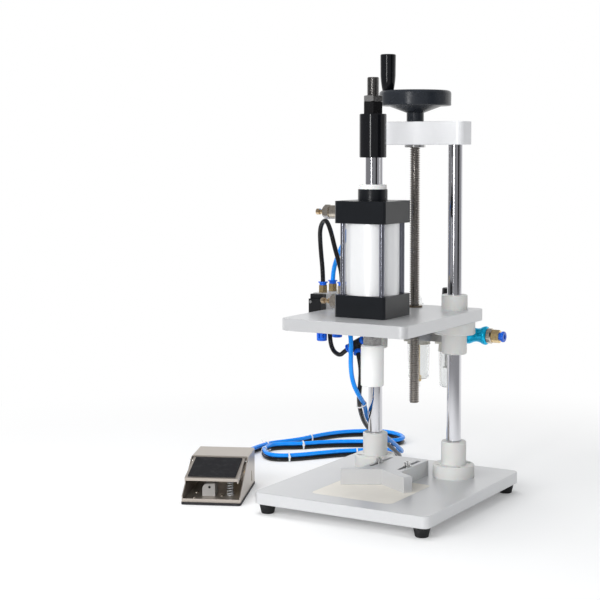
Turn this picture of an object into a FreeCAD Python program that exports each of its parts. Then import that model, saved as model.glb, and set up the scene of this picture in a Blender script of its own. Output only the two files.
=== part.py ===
import FreeCAD, Part

import math
import os

Vector = FreeCAD.Vector

# Benchtop pneumatic capping machine. Lengths are in millimetres. X runs to the right, Y to the back and
# Z upwards. The origin lies on the bottle pad's top face, straight below the capping head.

# Clearances
SHAFT_GAP = 0.05
PRESS_GAP = 0.02
FACE_GAP = 0.2
SOFT_GAP = 0.3
HOLE_GAP = 1.0

# Base plate, bottle pad and feet
BASE_WIDTH = 320.0
BASE_DEPTH = 370.0
BASE_THICK = 20.0
BASE_MIDDLE_Y = 66.0
PLATE_CORNER = 12.0
PLATE_CHAMFER = 0.8
PAD_SIDE = 150.0
PAD_THICK = 2.0
PAD_MIDDLE_Y = -2.0
PAD_CORNER = 12.0
FOOT_HEIGHT = 17.0
FOOT_TOP_RADIUS = 14.5
FOOT_BOTTOM_RADIUS = 11.0
FOOT_ROUND = 2.0
FOOT_INSET = 18.0
FOOT_RECESS = 8.0

# Columns, their flanges and the top beam
COLUMN_RADIUS = 12.5
COLUMN_X = 77.0
COLUMN_Y = 156.0
FLANGE_RADIUS = 36.0
FLANGE_THICK = 22.0
FLANGE_PITCH_RADIUS = 28.0
HUB_RADIUS = 21.7
BASE_HUB_HEIGHT = 62.0
BEAM_WIDTH = 200.0
BEAM_DEPTH = 48.0
BEAM_THICK = 40.0
BEAM_BOTTOM = 574.6
COLUMN_SOCKET = 34.0

# Socket head screws: shank radius of each size used
M3 = 1.5
M4 = 2.0
M5 = 2.5
M6 = 3.0
M8 = 4.0
SCREW_BITE = 12.0

# Lead screw and handwheel
SCREW_RADIUS = 9.0
SCREW_END = 121.8
JOURNAL_RADIUS = 8.0
BUSH_RADIUS = 12.0
COLLAR_RADIUS = 18.5
COLLAR_THICK = 4.4
WHEEL_RADIUS = 62.5
RIM_BOTTOM = 642.5
RIM_TOP = 668.7
RIM_THICK = 11.5
WHEEL_HUB_RADIUS = 15.0
WEB_THICK = 6.0
WHEEL_NUT_FLATS = 24.0
WHEEL_NUT_HEIGHT = 9.0
GRIP_TURN = 210.0
GRIP_ARM = 47.5
GRIP_TOP = 731.6
GRIP_TOP_RADIUS = 13.6
GRIP_FOOT_RADIUS = 9.9

# Head plate and what guides it
HEAD_MARGIN = 2.0
HEAD_WIDTH = 2 * (COLUMN_X + FLANGE_RADIUS + HEAD_MARGIN)
HEAD_FRONT = -107.3
HEAD_BACK = 197.7
HEAD_BOTTOM = 270.6
HEAD_THICK = 20.0
GUIDE_HUB_BOTTOM = 214.0
RING_RADIUS = 22.5
RING_HEIGHT = 25.9
LEAD_NUT_RADIUS = 22.5
LEAD_NUT_FLANGE = 10.0
LEAD_NUT_BARREL = 14.0
LEAD_NUT_PITCH = 18.0
LEAD_NUT_PROUD = 3.0

# Cylinder
CAP_SIDE = 94.0
CAP_THICK = 36.7
CAP_CHAMFER = 3.5
BARREL_LENGTH = 117.9
BARREL_RADIUS = 44.0
BORE_RADIUS = 40.0
TIE_RADIUS = 4.4
TIE_SPACING = 36.0
TIE_NUT_RADIUS = 7.5
TIE_NUT_DEPTH = 9.0
GLAND_RADIUS = 24.5
GLAND_HEIGHT = 19.1
GLAND_SPIGOT = 20.0
GLAND_SPIGOT_DEPTH = 12.0
LOWER_GLAND_RADIUS = 22.0
LOWER_GLAND_REACH = 6.0
BUMPER_RADIUS = 23.25
BUMPER_HEIGHT = 7.5
ROD_RADIUS = 12.5
ROD_THREAD_RADIUS = 10.0
ROD_TOP = 684.9
PISTON_THICK = 30.0
PISTON_TOP_GAP = 4.0
STROKE = 44.0
SLEEVE_RADIUS = 22.3
SLEEVE_HEIGHT = 71.8
SLEEVE_SHOULDER = 4.0
ROD_NUT_FLATS = 30.0
TALL_NUT = 20.1
THIN_NUT = 10.0
LOWER_NUT = 14.0
CAPPER_RADIUS = 19.2
CAPPER_BOTTOM = 174.1
CAPPER_TOP = 242.6
CAPPER_THREAD = 36.0
POCKET_RADIUS = 13.0
POCKET_DEPTH = 20.0

# Speed controllers on the cylinder caps
PORT_RADIUS = 6.5
PORT_DEPTH = 8.0
CONTROL_RADIUS = 11.5
CONTROL_BASE = 3.0
CONTROL_BASE_FLATS = 20.0
CONTROL_NUT = 11.0
CONTROL_NUT_FLATS = 21.0
TOP_CONTROL_REACH = 33.0
BOTTOM_CONTROL_REACH = 19.0
TOP_CONTROL_Z = 461.5
BOTTOM_CONTROL_Z = 311.0
TOP_NEEDLE_OUT = 9.8
BOTTOM_NEEDLE_OUT = 13.9
NEEDLE_RADIUS = 3.2
NEEDLE_KNOB_RADIUS = 5.2
NEEDLE_KNOB = 6.5
NEEDLE_INSIDE = 14.0
CONTROL_PORT = 27.0
CONTROL_PORT_RADIUS = 7.8

# Hoses and push-in fittings
HOSE_RADIUS = 4.0
HOSE_GRIP = 11.0
FITTING_STUB_RADIUS = 5.0
FITTING_STUB = 8.0
FITTING_FLATS = 14.0
FITTING_HEX = 13.0
COLLAR_REACH = 6.0
COLLAR_LIP = 8.2
COLLAR_LIP_THICK = 2.0
COLLAR_NECK = 6.3
ARC_SHARE = 0.45

# Valve on the head plate's left edge
VALVE_WIDTH = 27.0
VALVE_BOTTOM = 271.0
VALVE_TOP = 318.0
VALVE_FRONT = 47.0
VALVE_BACK = 116.0
VALVE_CAP = 17.0
VALVE_CAP_INSET = 1.0
VALVE_STEP = 9.0
OUTLET_A_Y = 58.0
OUTLET_B_Y = 92.0
SUPPLY_Y = 81.0
EXHAUST_FRONT_Y = 54.0
EXHAUST_BACK_Y = 108.0
VALVE_SCREW_Z = 281.0
VALVE_SCREW_FRONT_Y = 66.0
VALVE_SCREW_BACK_Y = 98.0
SILENCER_RADIUS = 9.0
SILENCER_LENGTH = 37.0
SILENCER_SLOTS = 8
SILENCER_SLOT_WIDTH = 2.6
SILENCER_SLOT_LENGTH = 13.0
PILOT_Z = 295.0

# Air preparation unit behind the head plate
AIR_AXIS_Z = 240.0
AIR_Y = 222.0
FILTER_X = 39.0
OILER_X = -23.0
AIR_BODY_WIDTH = 44.0
AIR_BODY_DEPTH = 40.0
AIR_BODY_TOP = 276.0
FILTER_BODY_BOTTOM = 208.0
OILER_BODY_BOTTOM = 217.0
BOWL_TOP_RADIUS = 20.5
BOWL_FOOT_RADIUS = 18.5
BOWL_WALL = 2.0
FILTER_BOWL_BOTTOM = 144.0
OILER_BOWL_BOTTOM = 154.0
DRAIN_RADIUS = 5.0
DRAIN_LENGTH = 15.0
BRACKET_THICK = 3.0
BRACKET_WIDTH = 96.0
BRACKET_BOTTOM = 226.0
REGULATOR_RADIUS = 15.8
REGULATOR_TOP = 321.0
REGULATOR_NECK_TOP = 284.0
DOME_RADIUS = 5.0
DOME_TOP = 303.0

# Hand slide valve and air inlet
SPOOL_RADIUS = 8.5
SPOOL_END_X = 112.0
SLEEVE_START_X = 71.0
SLIDE_SLEEVE_LENGTH = 40.7
SLIDE_SLEEVE_BULGE = 16.3
SLIDE_SLEEVE_WAIST = 12.0
SLIDE_RING_RADIUS = 13.5
SLIDE_RING_WIDTH = 9.0
SLIDE_TRAVEL = 9.0
INLET_HEX_LENGTH = 14.0
INLET_FLATS = 20.0
INLET_COLLAR_RADIUS = 9.4
INLET_COLLAR_LENGTH = 8.4
INLET_BORE_RADIUS = 4.1

# Tee below the head plate
TEE_CENTRE = Vector(-70.0, 71.0, 229.5)
TEE_RUN = Vector(0.866, 0.0, 0.5)
TEE_BRANCH = Vector(0.46, -0.38, -0.80)
TEE_RADIUS = 7.0
TEE_ARM = 12.0

# Bottle block
BLOCK_HEIGHT = 26.5
BLOCK_HALF_WIDTH = 37.0
BLOCK_BACK_Y = 139.0
BLOCK_VERTEX_Y = 34.0
BLOCK_WING_LENGTH = 69.2
BLOCK_WING_WIDTH = 16.0
BLOCK_WING_TURN = 30.0
SLOT_X = 27.0
SLOT_WIDTH = 7.0
SLOT_FRONT_Y = 44.0
SLOT_BACK_Y = 126.0
CLAMP_Y = 77.0
WASHER_RADIUS = 7.5
WASHER_THICK = 1.2

# Foot valve, drawn in its own frame and then turned and set beside the machine
PEDAL_X = -286.5
PEDAL_Y = -32.5
PEDAL_TURN = 24.5
PEDAL_WIDTH = 101.0
PEDAL_LENGTH = 166.0
PEDAL_HEIGHT = 65.0
PEDAL_RUBBER = 4.0
PEDAL_SHEET = 1.5
PEDAL_BEND = 3.0
COVER_LENGTH = 75.0
SIDE_FRONT_HEIGHT = 14.0
SIDE_SLOT_BACK = 36.0
SIDE_SLOT_WIDTH = 8.0
SIDE_SLOT_BOTTOM = 12.0
SIDE_SLOT_TOP = 31.0
TREAD_WIDTH = 92.0
TREAD_DROP = 18.0
TREAD_REAR_GAP = 2.0
TREAD_FLANGE = 9.0
TREAD_LENGTH = 88.0
TREAD_RUBBER_THICK = 2.6
TREAD_RUBBER_WIDTH = 82.0
TREAD_RUBBER_LENGTH = 78.0
HINGE_BACK = 81.0
HINGE_HEIGHT = 57.0
HINGE_PIN_RADIUS = 2.5
PEDAL_VALVE_LEFT = -22.0
PEDAL_VALVE_RIGHT = 0.0
PEDAL_VALVE_BACK = 96.0
PEDAL_VALVE_FRONT = 126.0
PEDAL_VALVE_TOP = 27.0
PLUNGER_RADIUS = 4.0
PLUNGER_X = -11.0
PLUNGER_BACK = 110.0
SPRING_X = 25.0
SPRING_BACK = 116.0
SPRING_RADIUS = 6.0
SPRING_WIRE = 0.9
SPRING_TURNS = 7
PEDAL_PORT_X = 18.0
PEDAL_PORT_SPACING = 18.0
PEDAL_PORT_HEIGHT = 20.0

# Pedal hoses, points chosen along their routes
FLOOR = -BASE_THICK - FOOT_HEIGHT
BLACK_FLOOR_Z = FLOOR + HOSE_RADIUS
BLUE_LIFT = 7.6
BLUE_FLOOR_Z = BLACK_FLOOR_Z + BLUE_LIFT
COIL_HEIGHT = 2.0 * HOSE_RADIUS + BLUE_LIFT
TIE_RADIUS_OUT = 9.4
TIE_WIDTH = 2.5

HEAD_TOP = HEAD_BOTTOM + HEAD_THICK
BEAM_TOP = BEAM_BOTTOM + BEAM_THICK
BASE_FRONT = BASE_MIDDLE_Y - BASE_DEPTH / 2
BASE_BACK = BASE_MIDDLE_Y + BASE_DEPTH / 2
LOWER_CAP_TOP = HEAD_TOP + CAP_THICK
UPPER_CAP_BOTTOM = LOWER_CAP_TOP + BARREL_LENGTH
UPPER_CAP_TOP = UPPER_CAP_BOTTOM + CAP_THICK
GLAND_TOP = UPPER_CAP_TOP + GLAND_HEIGHT
BUMPER_TOP = GLAND_TOP + BUMPER_HEIGHT
SLEEVE_BOTTOM = BUMPER_TOP + STROKE + 0.4
SLEEVE_TOP = SLEEVE_BOTTOM + SLEEVE_HEIGHT
LOWER_NUT_TOP = CAPPER_TOP + LOWER_NUT
LOWER_GLAND_BOTTOM = HEAD_BOTTOM - LOWER_GLAND_REACH
VALVE_RIGHT = -HEAD_WIDTH / 2
VALVE_LEFT = VALVE_RIGHT - VALVE_WIDTH
VALVE_X = (VALVE_LEFT + VALVE_RIGHT) / 2
COLUMNS = [(-COLUMN_X, COLUMN_Y), (COLUMN_X, COLUMN_Y)]
TIE_PLACES = [(x, y) for x in (-TIE_SPACING, TIE_SPACING) for y in (-TIE_SPACING, TIE_SPACING)]
FEET = [
    (x, y)
    for x in (-BASE_WIDTH / 2 + FOOT_INSET, BASE_WIDTH / 2 - FOOT_INSET)
    for y in (BASE_FRONT + FOOT_INSET, BASE_BACK - FOOT_INSET)
]


def cylinder(radius, low, high, x=0.0, y=0.0):
    """Upright cylinder between two heights."""
    return Part.makeCylinder(radius, high - low, Vector(x, y, low))


def bar(radius, start, way, length):
    """Round bar of a given length from a point along any direction."""
    return Part.makeCylinder(radius, length, start, way)


def block(x0, x1, y0, y1, z0, z1):
    """Box between two corners."""
    return Part.makeBox(x1 - x0, y1 - y0, z1 - z0, Vector(x0, y0, z0))


def outline(points):
    """Closed wire through (a, b) points in the XZ plane; (a, b, c, d) is an arc through (a, b) to (c, d)."""
    corners = [Vector(point[-2], 0, point[-1]) for point in points]
    edges = []
    for index, point in enumerate(points):
        start = corners[index - 1]
        if len(point) == 4:
            edges.append(Part.Arc(start, Vector(point[0], 0, point[1]), corners[index]).toShape())
        else:
            edges.append(Part.LineSegment(start, corners[index]).toShape())
    return Part.Wire(Part.__sortEdges__(edges))


def turned(points, x=0.0, y=0.0):
    """Solid of revolution about an upright line; the points hold radius and height."""
    solid = Part.Face(outline(points)).revolve(Vector(0, 0, 0), Vector(0, 0, 1), 360)
    solid.translate(Vector(x, y, 0))
    return solid


def aimed(shape, start, way):
    """Copy of a shape drawn along Z from the origin, set at a point and pointed along a direction."""
    placed = shape.copy()
    placed.Placement = FreeCAD.Placement(start, FreeCAD.Rotation(Vector(0, 0, 1), way))
    return placed


def prism(flats, low, high, x=0.0, y=0.0, turn=0.0):
    """Hexagonal prism of a given size across flats, with its end corners chamfered."""
    corner = flats / math.sqrt(3.0)
    angles = [math.radians(turn + 60.0 * side) for side in range(6)]
    points = [Vector(corner * math.cos(a), corner * math.sin(a), low) for a in angles]
    solid = Part.Face(Part.makePolygon(points + points[:1])).extrude(Vector(0, 0, high - low))
    bevel = corner - flats / 2
    lathe = turned(
        [(0, low), (flats / 2, low), (corner, low + bevel / 2), (corner, high - bevel / 2), (flats / 2, high), (0, high)]
    )
    solid = solid.common(lathe)
    solid.translate(Vector(x, y, 0))
    return solid


def upright_edges(shape):
    """Edges of a shape that run parallel to Z."""
    return [edge for edge in shape.Edges if edge.BoundBox.XLength + edge.BoundBox.YLength < 1e-6]


def level_edges(shape, z):
    """Edges of a shape that lie wholly at one height."""
    return [edge for edge in shape.Edges if abs(edge.BoundBox.ZMin - z) < 1e-6 and edge.BoundBox.ZLength < 1e-6]


def plate(x0, x1, y0, y1, z0, z1, corner, chamfer):
    """Flat plate with rounded upright corners and broken top and bottom edges."""
    solid = block(x0, x1, y0, y1, z0, z1)
    solid = solid.makeFillet(corner, upright_edges(solid))
    return solid.makeChamfer(chamfer, level_edges(solid, z0) + level_edges(solid, z1))


def socket_screw(shank, seat, length, x, y, down=True, socket=False):
    """Socket head screw whose head rests on the height named seat, with its shank below it, or above it."""
    head_radius = 1.7 * shank
    head_height = 2.0 * shank
    solid = turned([(0, -length), (shank, -length), (shank, 0), (head_radius, 0), (head_radius, head_height), (0, head_height)])
    if socket:
        solid = solid.cut(prism(1.6 * shank, head_height - shank, head_height + shank))
    if not down:
        solid.rotate(Vector(0, 0, 0), Vector(1, 0, 0), 180)
    solid.translate(Vector(x, y, seat))
    return solid


def around(pitch_radius, count, x=0.0, y=0.0, start=45.0):
    """Centres of equally spaced holes on a circle."""
    angles = [math.radians(start + 360.0 * step / count) for step in range(count)]
    return [(x + pitch_radius * math.cos(a), y + pitch_radius * math.sin(a)) for a in angles]


def bent_path(points):
    """Straight runs joined by tangent arcs, each as large as its two runs allow; returns wire and radii."""
    edges = []
    radii = []
    start = points[0]
    for before, corner, after in zip(points, points[1:], points[2:]):
        back = before - corner
        ahead = after - corner
        reach = ARC_SHARE * min(back.Length, ahead.Length)
        half_turn = (math.pi - back.getAngle(ahead)) / 2
        radius = reach / math.tan(half_turn)
        back.normalize()
        ahead.normalize()
        inward = back + ahead
        inward.normalize()
        near = math.hypot(radius, reach) - radius
        first = corner + back * reach
        last = corner + ahead * reach
        edges.append(Part.LineSegment(start, first).toShape())
        edges.append(Part.Arc(first, corner + inward * near, last).toShape())
        radii.append(radius)
        start = last
    edges.append(Part.LineSegment(start, points[-1]).toShape())
    return Part.Wire(edges), radii


def hose(name, points):
    """Round hose along a bent path; its volume is compared with section times length."""
    path, radii = bent_path(points)
    ring = Part.Wire(Part.Circle(points[0], points[1] - points[0], HOSE_RADIUS).toShape())
    solid = path.makePipeShell([ring], True, False)
    share = solid.Volume / (math.pi * HOSE_RADIUS**2 * path.Length)
    print(name, "length", round(path.Length, 1), "radii", [round(radius, 1) for radius in radii], "volume", round(share, 4))
    return solid


def wire_spring(outer, wire, turns, height):
    """Coil spring; its wire has six sides, which keeps its faces few."""
    mean = outer - wire
    corners = []
    for corner in range(7):
        angle = math.radians(60 * corner)
        corners.append(Vector(mean + wire * math.cos(angle), 0, wire * math.sin(angle)))
    helix = Part.Wire(Part.makeHelix(height / turns, height, mean))
    return helix.makePipeShell([Part.makePolygon(corners)], True, True)


def save(node, *pieces):
    """Write one node, made of one solid or a group of separate solids."""
    shape = pieces[0] if len(pieces) == 1 else Part.makeCompound(list(pieces))
    shape.exportStep(os.path.join("parts", node + ".step"))


def push_in(start, way, stub=FITTING_STUB):
    """Brass push-in fitting seated at a point and its release collar; returns both."""
    body = prism(FITTING_FLATS, 0, FITTING_HEX).fuse(cylinder(FITTING_STUB_RADIUS, -stub, 0))
    body = body.cut(cylinder(HOSE_RADIUS + SHAFT_GAP, FITTING_HEX + COLLAR_REACH - HOSE_GRIP, FITTING_HEX + 1))
    return aimed(body, start, way), aimed(release_collar(FITTING_HEX), start, way)


def release_collar(height):
    """Release collar standing at a height above the origin: an oval lip on a short neck."""
    top = height + COLLAR_REACH
    return turned(
        [
            (HOSE_RADIUS + SHAFT_GAP, height),
            (COLLAR_NECK, height),
            (COLLAR_NECK, top - COLLAR_LIP_THICK),
            (COLLAR_LIP, top - COLLAR_LIP_THICK),
            (COLLAR_LIP, top),
            (HOSE_RADIUS + SHAFT_GAP, top),
        ]
    )


def make_base():
    """Base plate with its pad, feet and the screws that enter it."""
    pocket_half = PAD_SIDE / 2 + PAD_GAP_SIDE
    base = plate(-BASE_WIDTH / 2, BASE_WIDTH / 2, BASE_FRONT, BASE_BACK, -BASE_THICK, 0, PLATE_CORNER, PLATE_CHAMFER)
    pocket = block(-pocket_half, pocket_half, PAD_MIDDLE_Y - pocket_half, PAD_MIDDLE_Y + pocket_half, -PAD_THICK, 1)
    base = base.cut(pocket.makeFillet(PAD_CORNER, upright_edges(pocket)))
    screws = []
    for x, y in COLUMNS:
        for sx, sy in around(FLANGE_PITCH_RADIUS, 4, x, y):
            base = base.cut(cylinder(M5 + SHAFT_GAP, -SCREW_BITE - 1, 1, sx, sy))
            screws.append(socket_screw(M5, FLANGE_SEAT, FLANGE_SEAT + SCREW_BITE, sx, sy, socket=True))
        base = base.cut(cylinder(M8 + SHAFT_GAP, -BASE_THICK - 1, 1, x, y))
        base = base.cut(cylinder(2 * M8, -BASE_THICK - 1, -BASE_THICK / 2, x, y))
        screws.append(socket_screw(M8, -BASE_THICK / 2, BASE_THICK / 2 + 1.5 * SCREW_BITE, x, y, down=False))
    for x, y in FEET:
        base = base.cut(cylinder(M5 + SHAFT_GAP, -BASE_THICK - 1, -BASE_THICK + SCREW_BITE + 1, x, y))
        screws.append(socket_screw(M5, FOOT_SEAT, FOOT_HEIGHT - FOOT_RECESS + SCREW_BITE, x, y, down=False))
    for x in (-SLOT_X, SLOT_X):
        base = base.cut(cylinder(M6 + SHAFT_GAP, -SCREW_BITE - 1, 1, x, CLAMP_Y))
        seat = BLOCK_HEIGHT + 2 * FACE_GAP + WASHER_THICK
        screws.append(socket_screw(M6, seat, seat + SCREW_BITE, x, CLAMP_Y, socket=True))
        washer = cylinder(WASHER_RADIUS, seat - WASHER_THICK, seat, x, CLAMP_Y)
        screws.append(washer.cut(cylinder(M6 + SHAFT_GAP, seat - 2 * WASHER_THICK, seat + 1, x, CLAMP_Y)))
    save("base_plate", base)
    half = PAD_SIDE / 2
    pad = block(-half, half, PAD_MIDDLE_Y - half, PAD_MIDDLE_Y + half, -PAD_THICK, 0)
    save("bottle_pad", pad.makeFillet(PAD_CORNER - PAD_GAP_SIDE, upright_edges(pad)))
    profile = [
        (M5 + SHAFT_GAP, -BASE_THICK),
        (M5 + SHAFT_GAP, FOOT_SEAT),
        (2.2 * M5, FOOT_SEAT),
        (2.2 * M5, FLOOR),
        (FOOT_BOTTOM_RADIUS - FOOT_ROUND, FLOOR),
        (FOOT_BOTTOM_RADIUS - 0.3 * FOOT_ROUND, FLOOR + 0.3 * FOOT_ROUND, FOOT_BOTTOM_RADIUS, FLOOR + FOOT_ROUND),
        (FOOT_TOP_RADIUS, -BASE_THICK),
    ]
    save("rubber_feet", *[turned(profile, x, y) for x, y in FEET])
    return screws


PAD_GAP_SIDE = SOFT_GAP
FLANGE_SEAT = FLANGE_THICK - 2.4 * M5
FOOT_SEAT = FLOOR + FOOT_RECESS


def flange_profile(direction, face, thick, hub_end):
    """Flange and hub outline: the flange stands on a face and the hub runs on to its end."""
    edge = 1.5 * direction
    return [
        (COLUMN_RADIUS + SHAFT_GAP, face),
        (FLANGE_RADIUS, face),
        (FLANGE_RADIUS, face + direction * thick - edge),
        (FLANGE_RADIUS - 1.5, face + direction * thick),
        (HUB_RADIUS, face + direction * thick),
        (HUB_RADIUS, hub_end - edge),
        (HUB_RADIUS - 1.5, hub_end),
        (COLUMN_RADIUS + SHAFT_GAP, hub_end),
    ]


def make_frame():
    """Columns, base flanges, beam and screw bush; returns the grub screws."""
    flanges = []
    columns = []
    screws = []
    beam = plate(
        -BEAM_WIDTH / 2,
        BEAM_WIDTH / 2,
        COLUMN_Y - BEAM_DEPTH / 2,
        COLUMN_Y + BEAM_DEPTH / 2,
        BEAM_BOTTOM,
        BEAM_TOP,
        PLATE_CORNER,
        PLATE_CHAMFER,
    )
    beam = beam.cut(cylinder(BUSH_RADIUS + PRESS_GAP, BEAM_BOTTOM - 1, BEAM_TOP + 1, 0, COLUMN_Y))
    for x, y in COLUMNS:
        flange = turned(flange_profile(1, 0, FLANGE_THICK, BASE_HUB_HEIGHT), x, y)
        for sx, sy in around(FLANGE_PITCH_RADIUS, 4, x, y):
            flange = flange.cut(cylinder(M5 + SHAFT_GAP, -1, FLANGE_THICK + 1, sx, sy))
            flange = flange.cut(cylinder(1.9 * M5, FLANGE_SEAT, FLANGE_THICK + 1, sx, sy))
        flanges.append(flange)
        column = cylinder(COLUMN_RADIUS, 0, BEAM_BOTTOM + COLUMN_SOCKET - FACE_GAP, x, y)
        columns.append(column.cut(cylinder(M8 + SHAFT_GAP, -1, 1.5 * SCREW_BITE + 2, x, y)))
        beam = beam.cut(cylinder(COLUMN_RADIUS + SHAFT_GAP, BEAM_BOTTOM - 1, BEAM_BOTTOM + COLUMN_SOCKET, x, y))
        hole_start = Vector(x, COLUMN_Y + COLUMN_RADIUS, BEAM_BOTTOM + BEAM_THICK / 2)
        grub_room = BEAM_DEPTH / 2 - COLUMN_RADIUS
        beam = beam.cut(bar(M6 + SHAFT_GAP, hole_start - Vector(0, 2, 0), Vector(0, 1, 0), grub_room + 4))
        screws.append(bar(M6, hole_start + Vector(0, FACE_GAP, 0), Vector(0, 1, 0), grub_room - 1))
    save("column_flanges", *flanges)
    save("columns", *columns)
    save("top_beam", beam)
    bush = cylinder(BUSH_RADIUS, BEAM_BOTTOM, BEAM_TOP, 0, COLUMN_Y)
    save("screw_bush", bush.cut(cylinder(JOURNAL_RADIUS + SHAFT_GAP, BEAM_BOTTOM - 1, BEAM_TOP + 1, 0, COLUMN_Y)))
    return screws


def make_height_drive():
    """Lead screw, handwheel with its revolving grip, and their fasteners."""
    hub_bottom = BEAM_TOP + FACE_GAP
    hub_top = RIM_BOTTOM - 0.5
    collar_bottom = BEAM_BOTTOM - FACE_GAP - COLLAR_THICK
    stud_radius = 0.75 * JOURNAL_RADIUS
    stud_top = hub_top + WHEEL_NUT_HEIGHT + 3
    bore = JOURNAL_RADIUS + PRESS_GAP
    screw = turned(
        [
            (0, SCREW_END),
            (SCREW_RADIUS - 1.5, SCREW_END),
            (SCREW_RADIUS, SCREW_END + 1.5),
            (SCREW_RADIUS, collar_bottom),
            (JOURNAL_RADIUS, collar_bottom),
            (JOURNAL_RADIUS, hub_top),
            (stud_radius, hub_top),
            (stud_radius, stud_top),
            (0, stud_top),
        ],
        0,
        COLUMN_Y,
    )
    save("lead_screw", screw)
    rim_inner = WHEEL_RADIUS - RIM_THICK
    rim_round = RIM_THICK / 2
    cone_z = BEAM_TOP + 15.4
    web_slope = (RIM_BOTTOM + 1 - cone_z) / (rim_inner - WHEEL_HUB_RADIUS)
    wheel = turned(
        [
            (bore, hub_bottom),
            (WHEEL_HUB_RADIUS, hub_bottom),
            (WHEEL_HUB_RADIUS, cone_z),
            (rim_inner, RIM_BOTTOM + 1),
            (WHEEL_RADIUS - 3, RIM_BOTTOM),
            (WHEEL_RADIUS - 0.5, RIM_BOTTOM + 0.5, WHEEL_RADIUS - 0.3, RIM_BOTTOM + 2.6),
            (WHEEL_RADIUS, RIM_TOP - rim_round),
            (WHEEL_RADIUS - 0.3 * rim_round, RIM_TOP - 0.3 * rim_round, WHEEL_RADIUS - rim_round, RIM_TOP),
            (rim_inner + 0.3 * rim_round, RIM_TOP - 0.3 * rim_round, rim_inner, RIM_TOP - rim_round),
            (rim_inner - 1, RIM_BOTTOM + 1 + WEB_THICK),
            (WHEEL_HUB_RADIUS + 5, cone_z + 5 * web_slope + WEB_THICK),
            (WHEEL_HUB_RADIUS, hub_top),
            (bore, hub_top),
        ],
        0,
        COLUMN_Y,
    )
    grip_angle = math.radians(GRIP_TURN)
    grip_x = GRIP_ARM * math.cos(grip_angle)
    grip_y = COLUMN_Y + GRIP_ARM * math.sin(grip_angle)
    grip_bottom = RIM_TOP + FACE_GAP
    spindle_low = RIM_BOTTOM + WEB_THICK + 2
    boss = cylinder(GRIP_FOOT_RADIUS, RIM_BOTTOM + WEB_THICK / 2, RIM_TOP, grip_x, grip_y)
    wheel = wheel.fuse(boss).removeSplitter()
    wheel = wheel.cut(cylinder(M8 + SHAFT_GAP, spindle_low, RIM_TOP + 1, grip_x, grip_y))
    save("handwheel", wheel)
    recess = 7.0
    grip = turned(
        [
            (M8 + SHAFT_GAP, grip_bottom),
            (GRIP_FOOT_RADIUS, grip_bottom),
            (GRIP_FOOT_RADIUS + 2.6, grip_bottom + 16, GRIP_TOP_RADIUS - 0.3, grip_bottom + 34),
            (GRIP_TOP_RADIUS, GRIP_TOP - 2),
            (GRIP_TOP_RADIUS - 0.6, GRIP_TOP - 0.6, GRIP_TOP_RADIUS - 2, GRIP_TOP),
            (2 * M8, GRIP_TOP),
            (2 * M8, GRIP_TOP - recess),
            (M8 + SHAFT_GAP, GRIP_TOP - recess),
        ],
        grip_x,
        grip_y,
    )
    save("grip", grip)
    collar = cylinder(COLLAR_RADIUS, collar_bottom, collar_bottom + COLLAR_THICK, 0, COLUMN_Y)
    collar = collar.cut(cylinder(bore, collar_bottom - 1, BEAM_BOTTOM, 0, COLUMN_Y))
    nut = prism(WHEEL_NUT_FLATS, hub_top, hub_top + WHEEL_NUT_HEIGHT, 0, COLUMN_Y)
    nut = nut.cut(cylinder(stud_radius + PRESS_GAP, hub_top - 1, stud_top, 0, COLUMN_Y))
    spindle_seat = GRIP_TOP - recess + FACE_GAP
    spindle = cylinder(M8, spindle_low, spindle_seat, grip_x, grip_y)
    spindle = spindle.fuse(cylinder(1.6 * M8, spindle_seat, spindle_seat + 4, grip_x, grip_y))
    save("wheel_fasteners", collar, nut, spindle)


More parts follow.
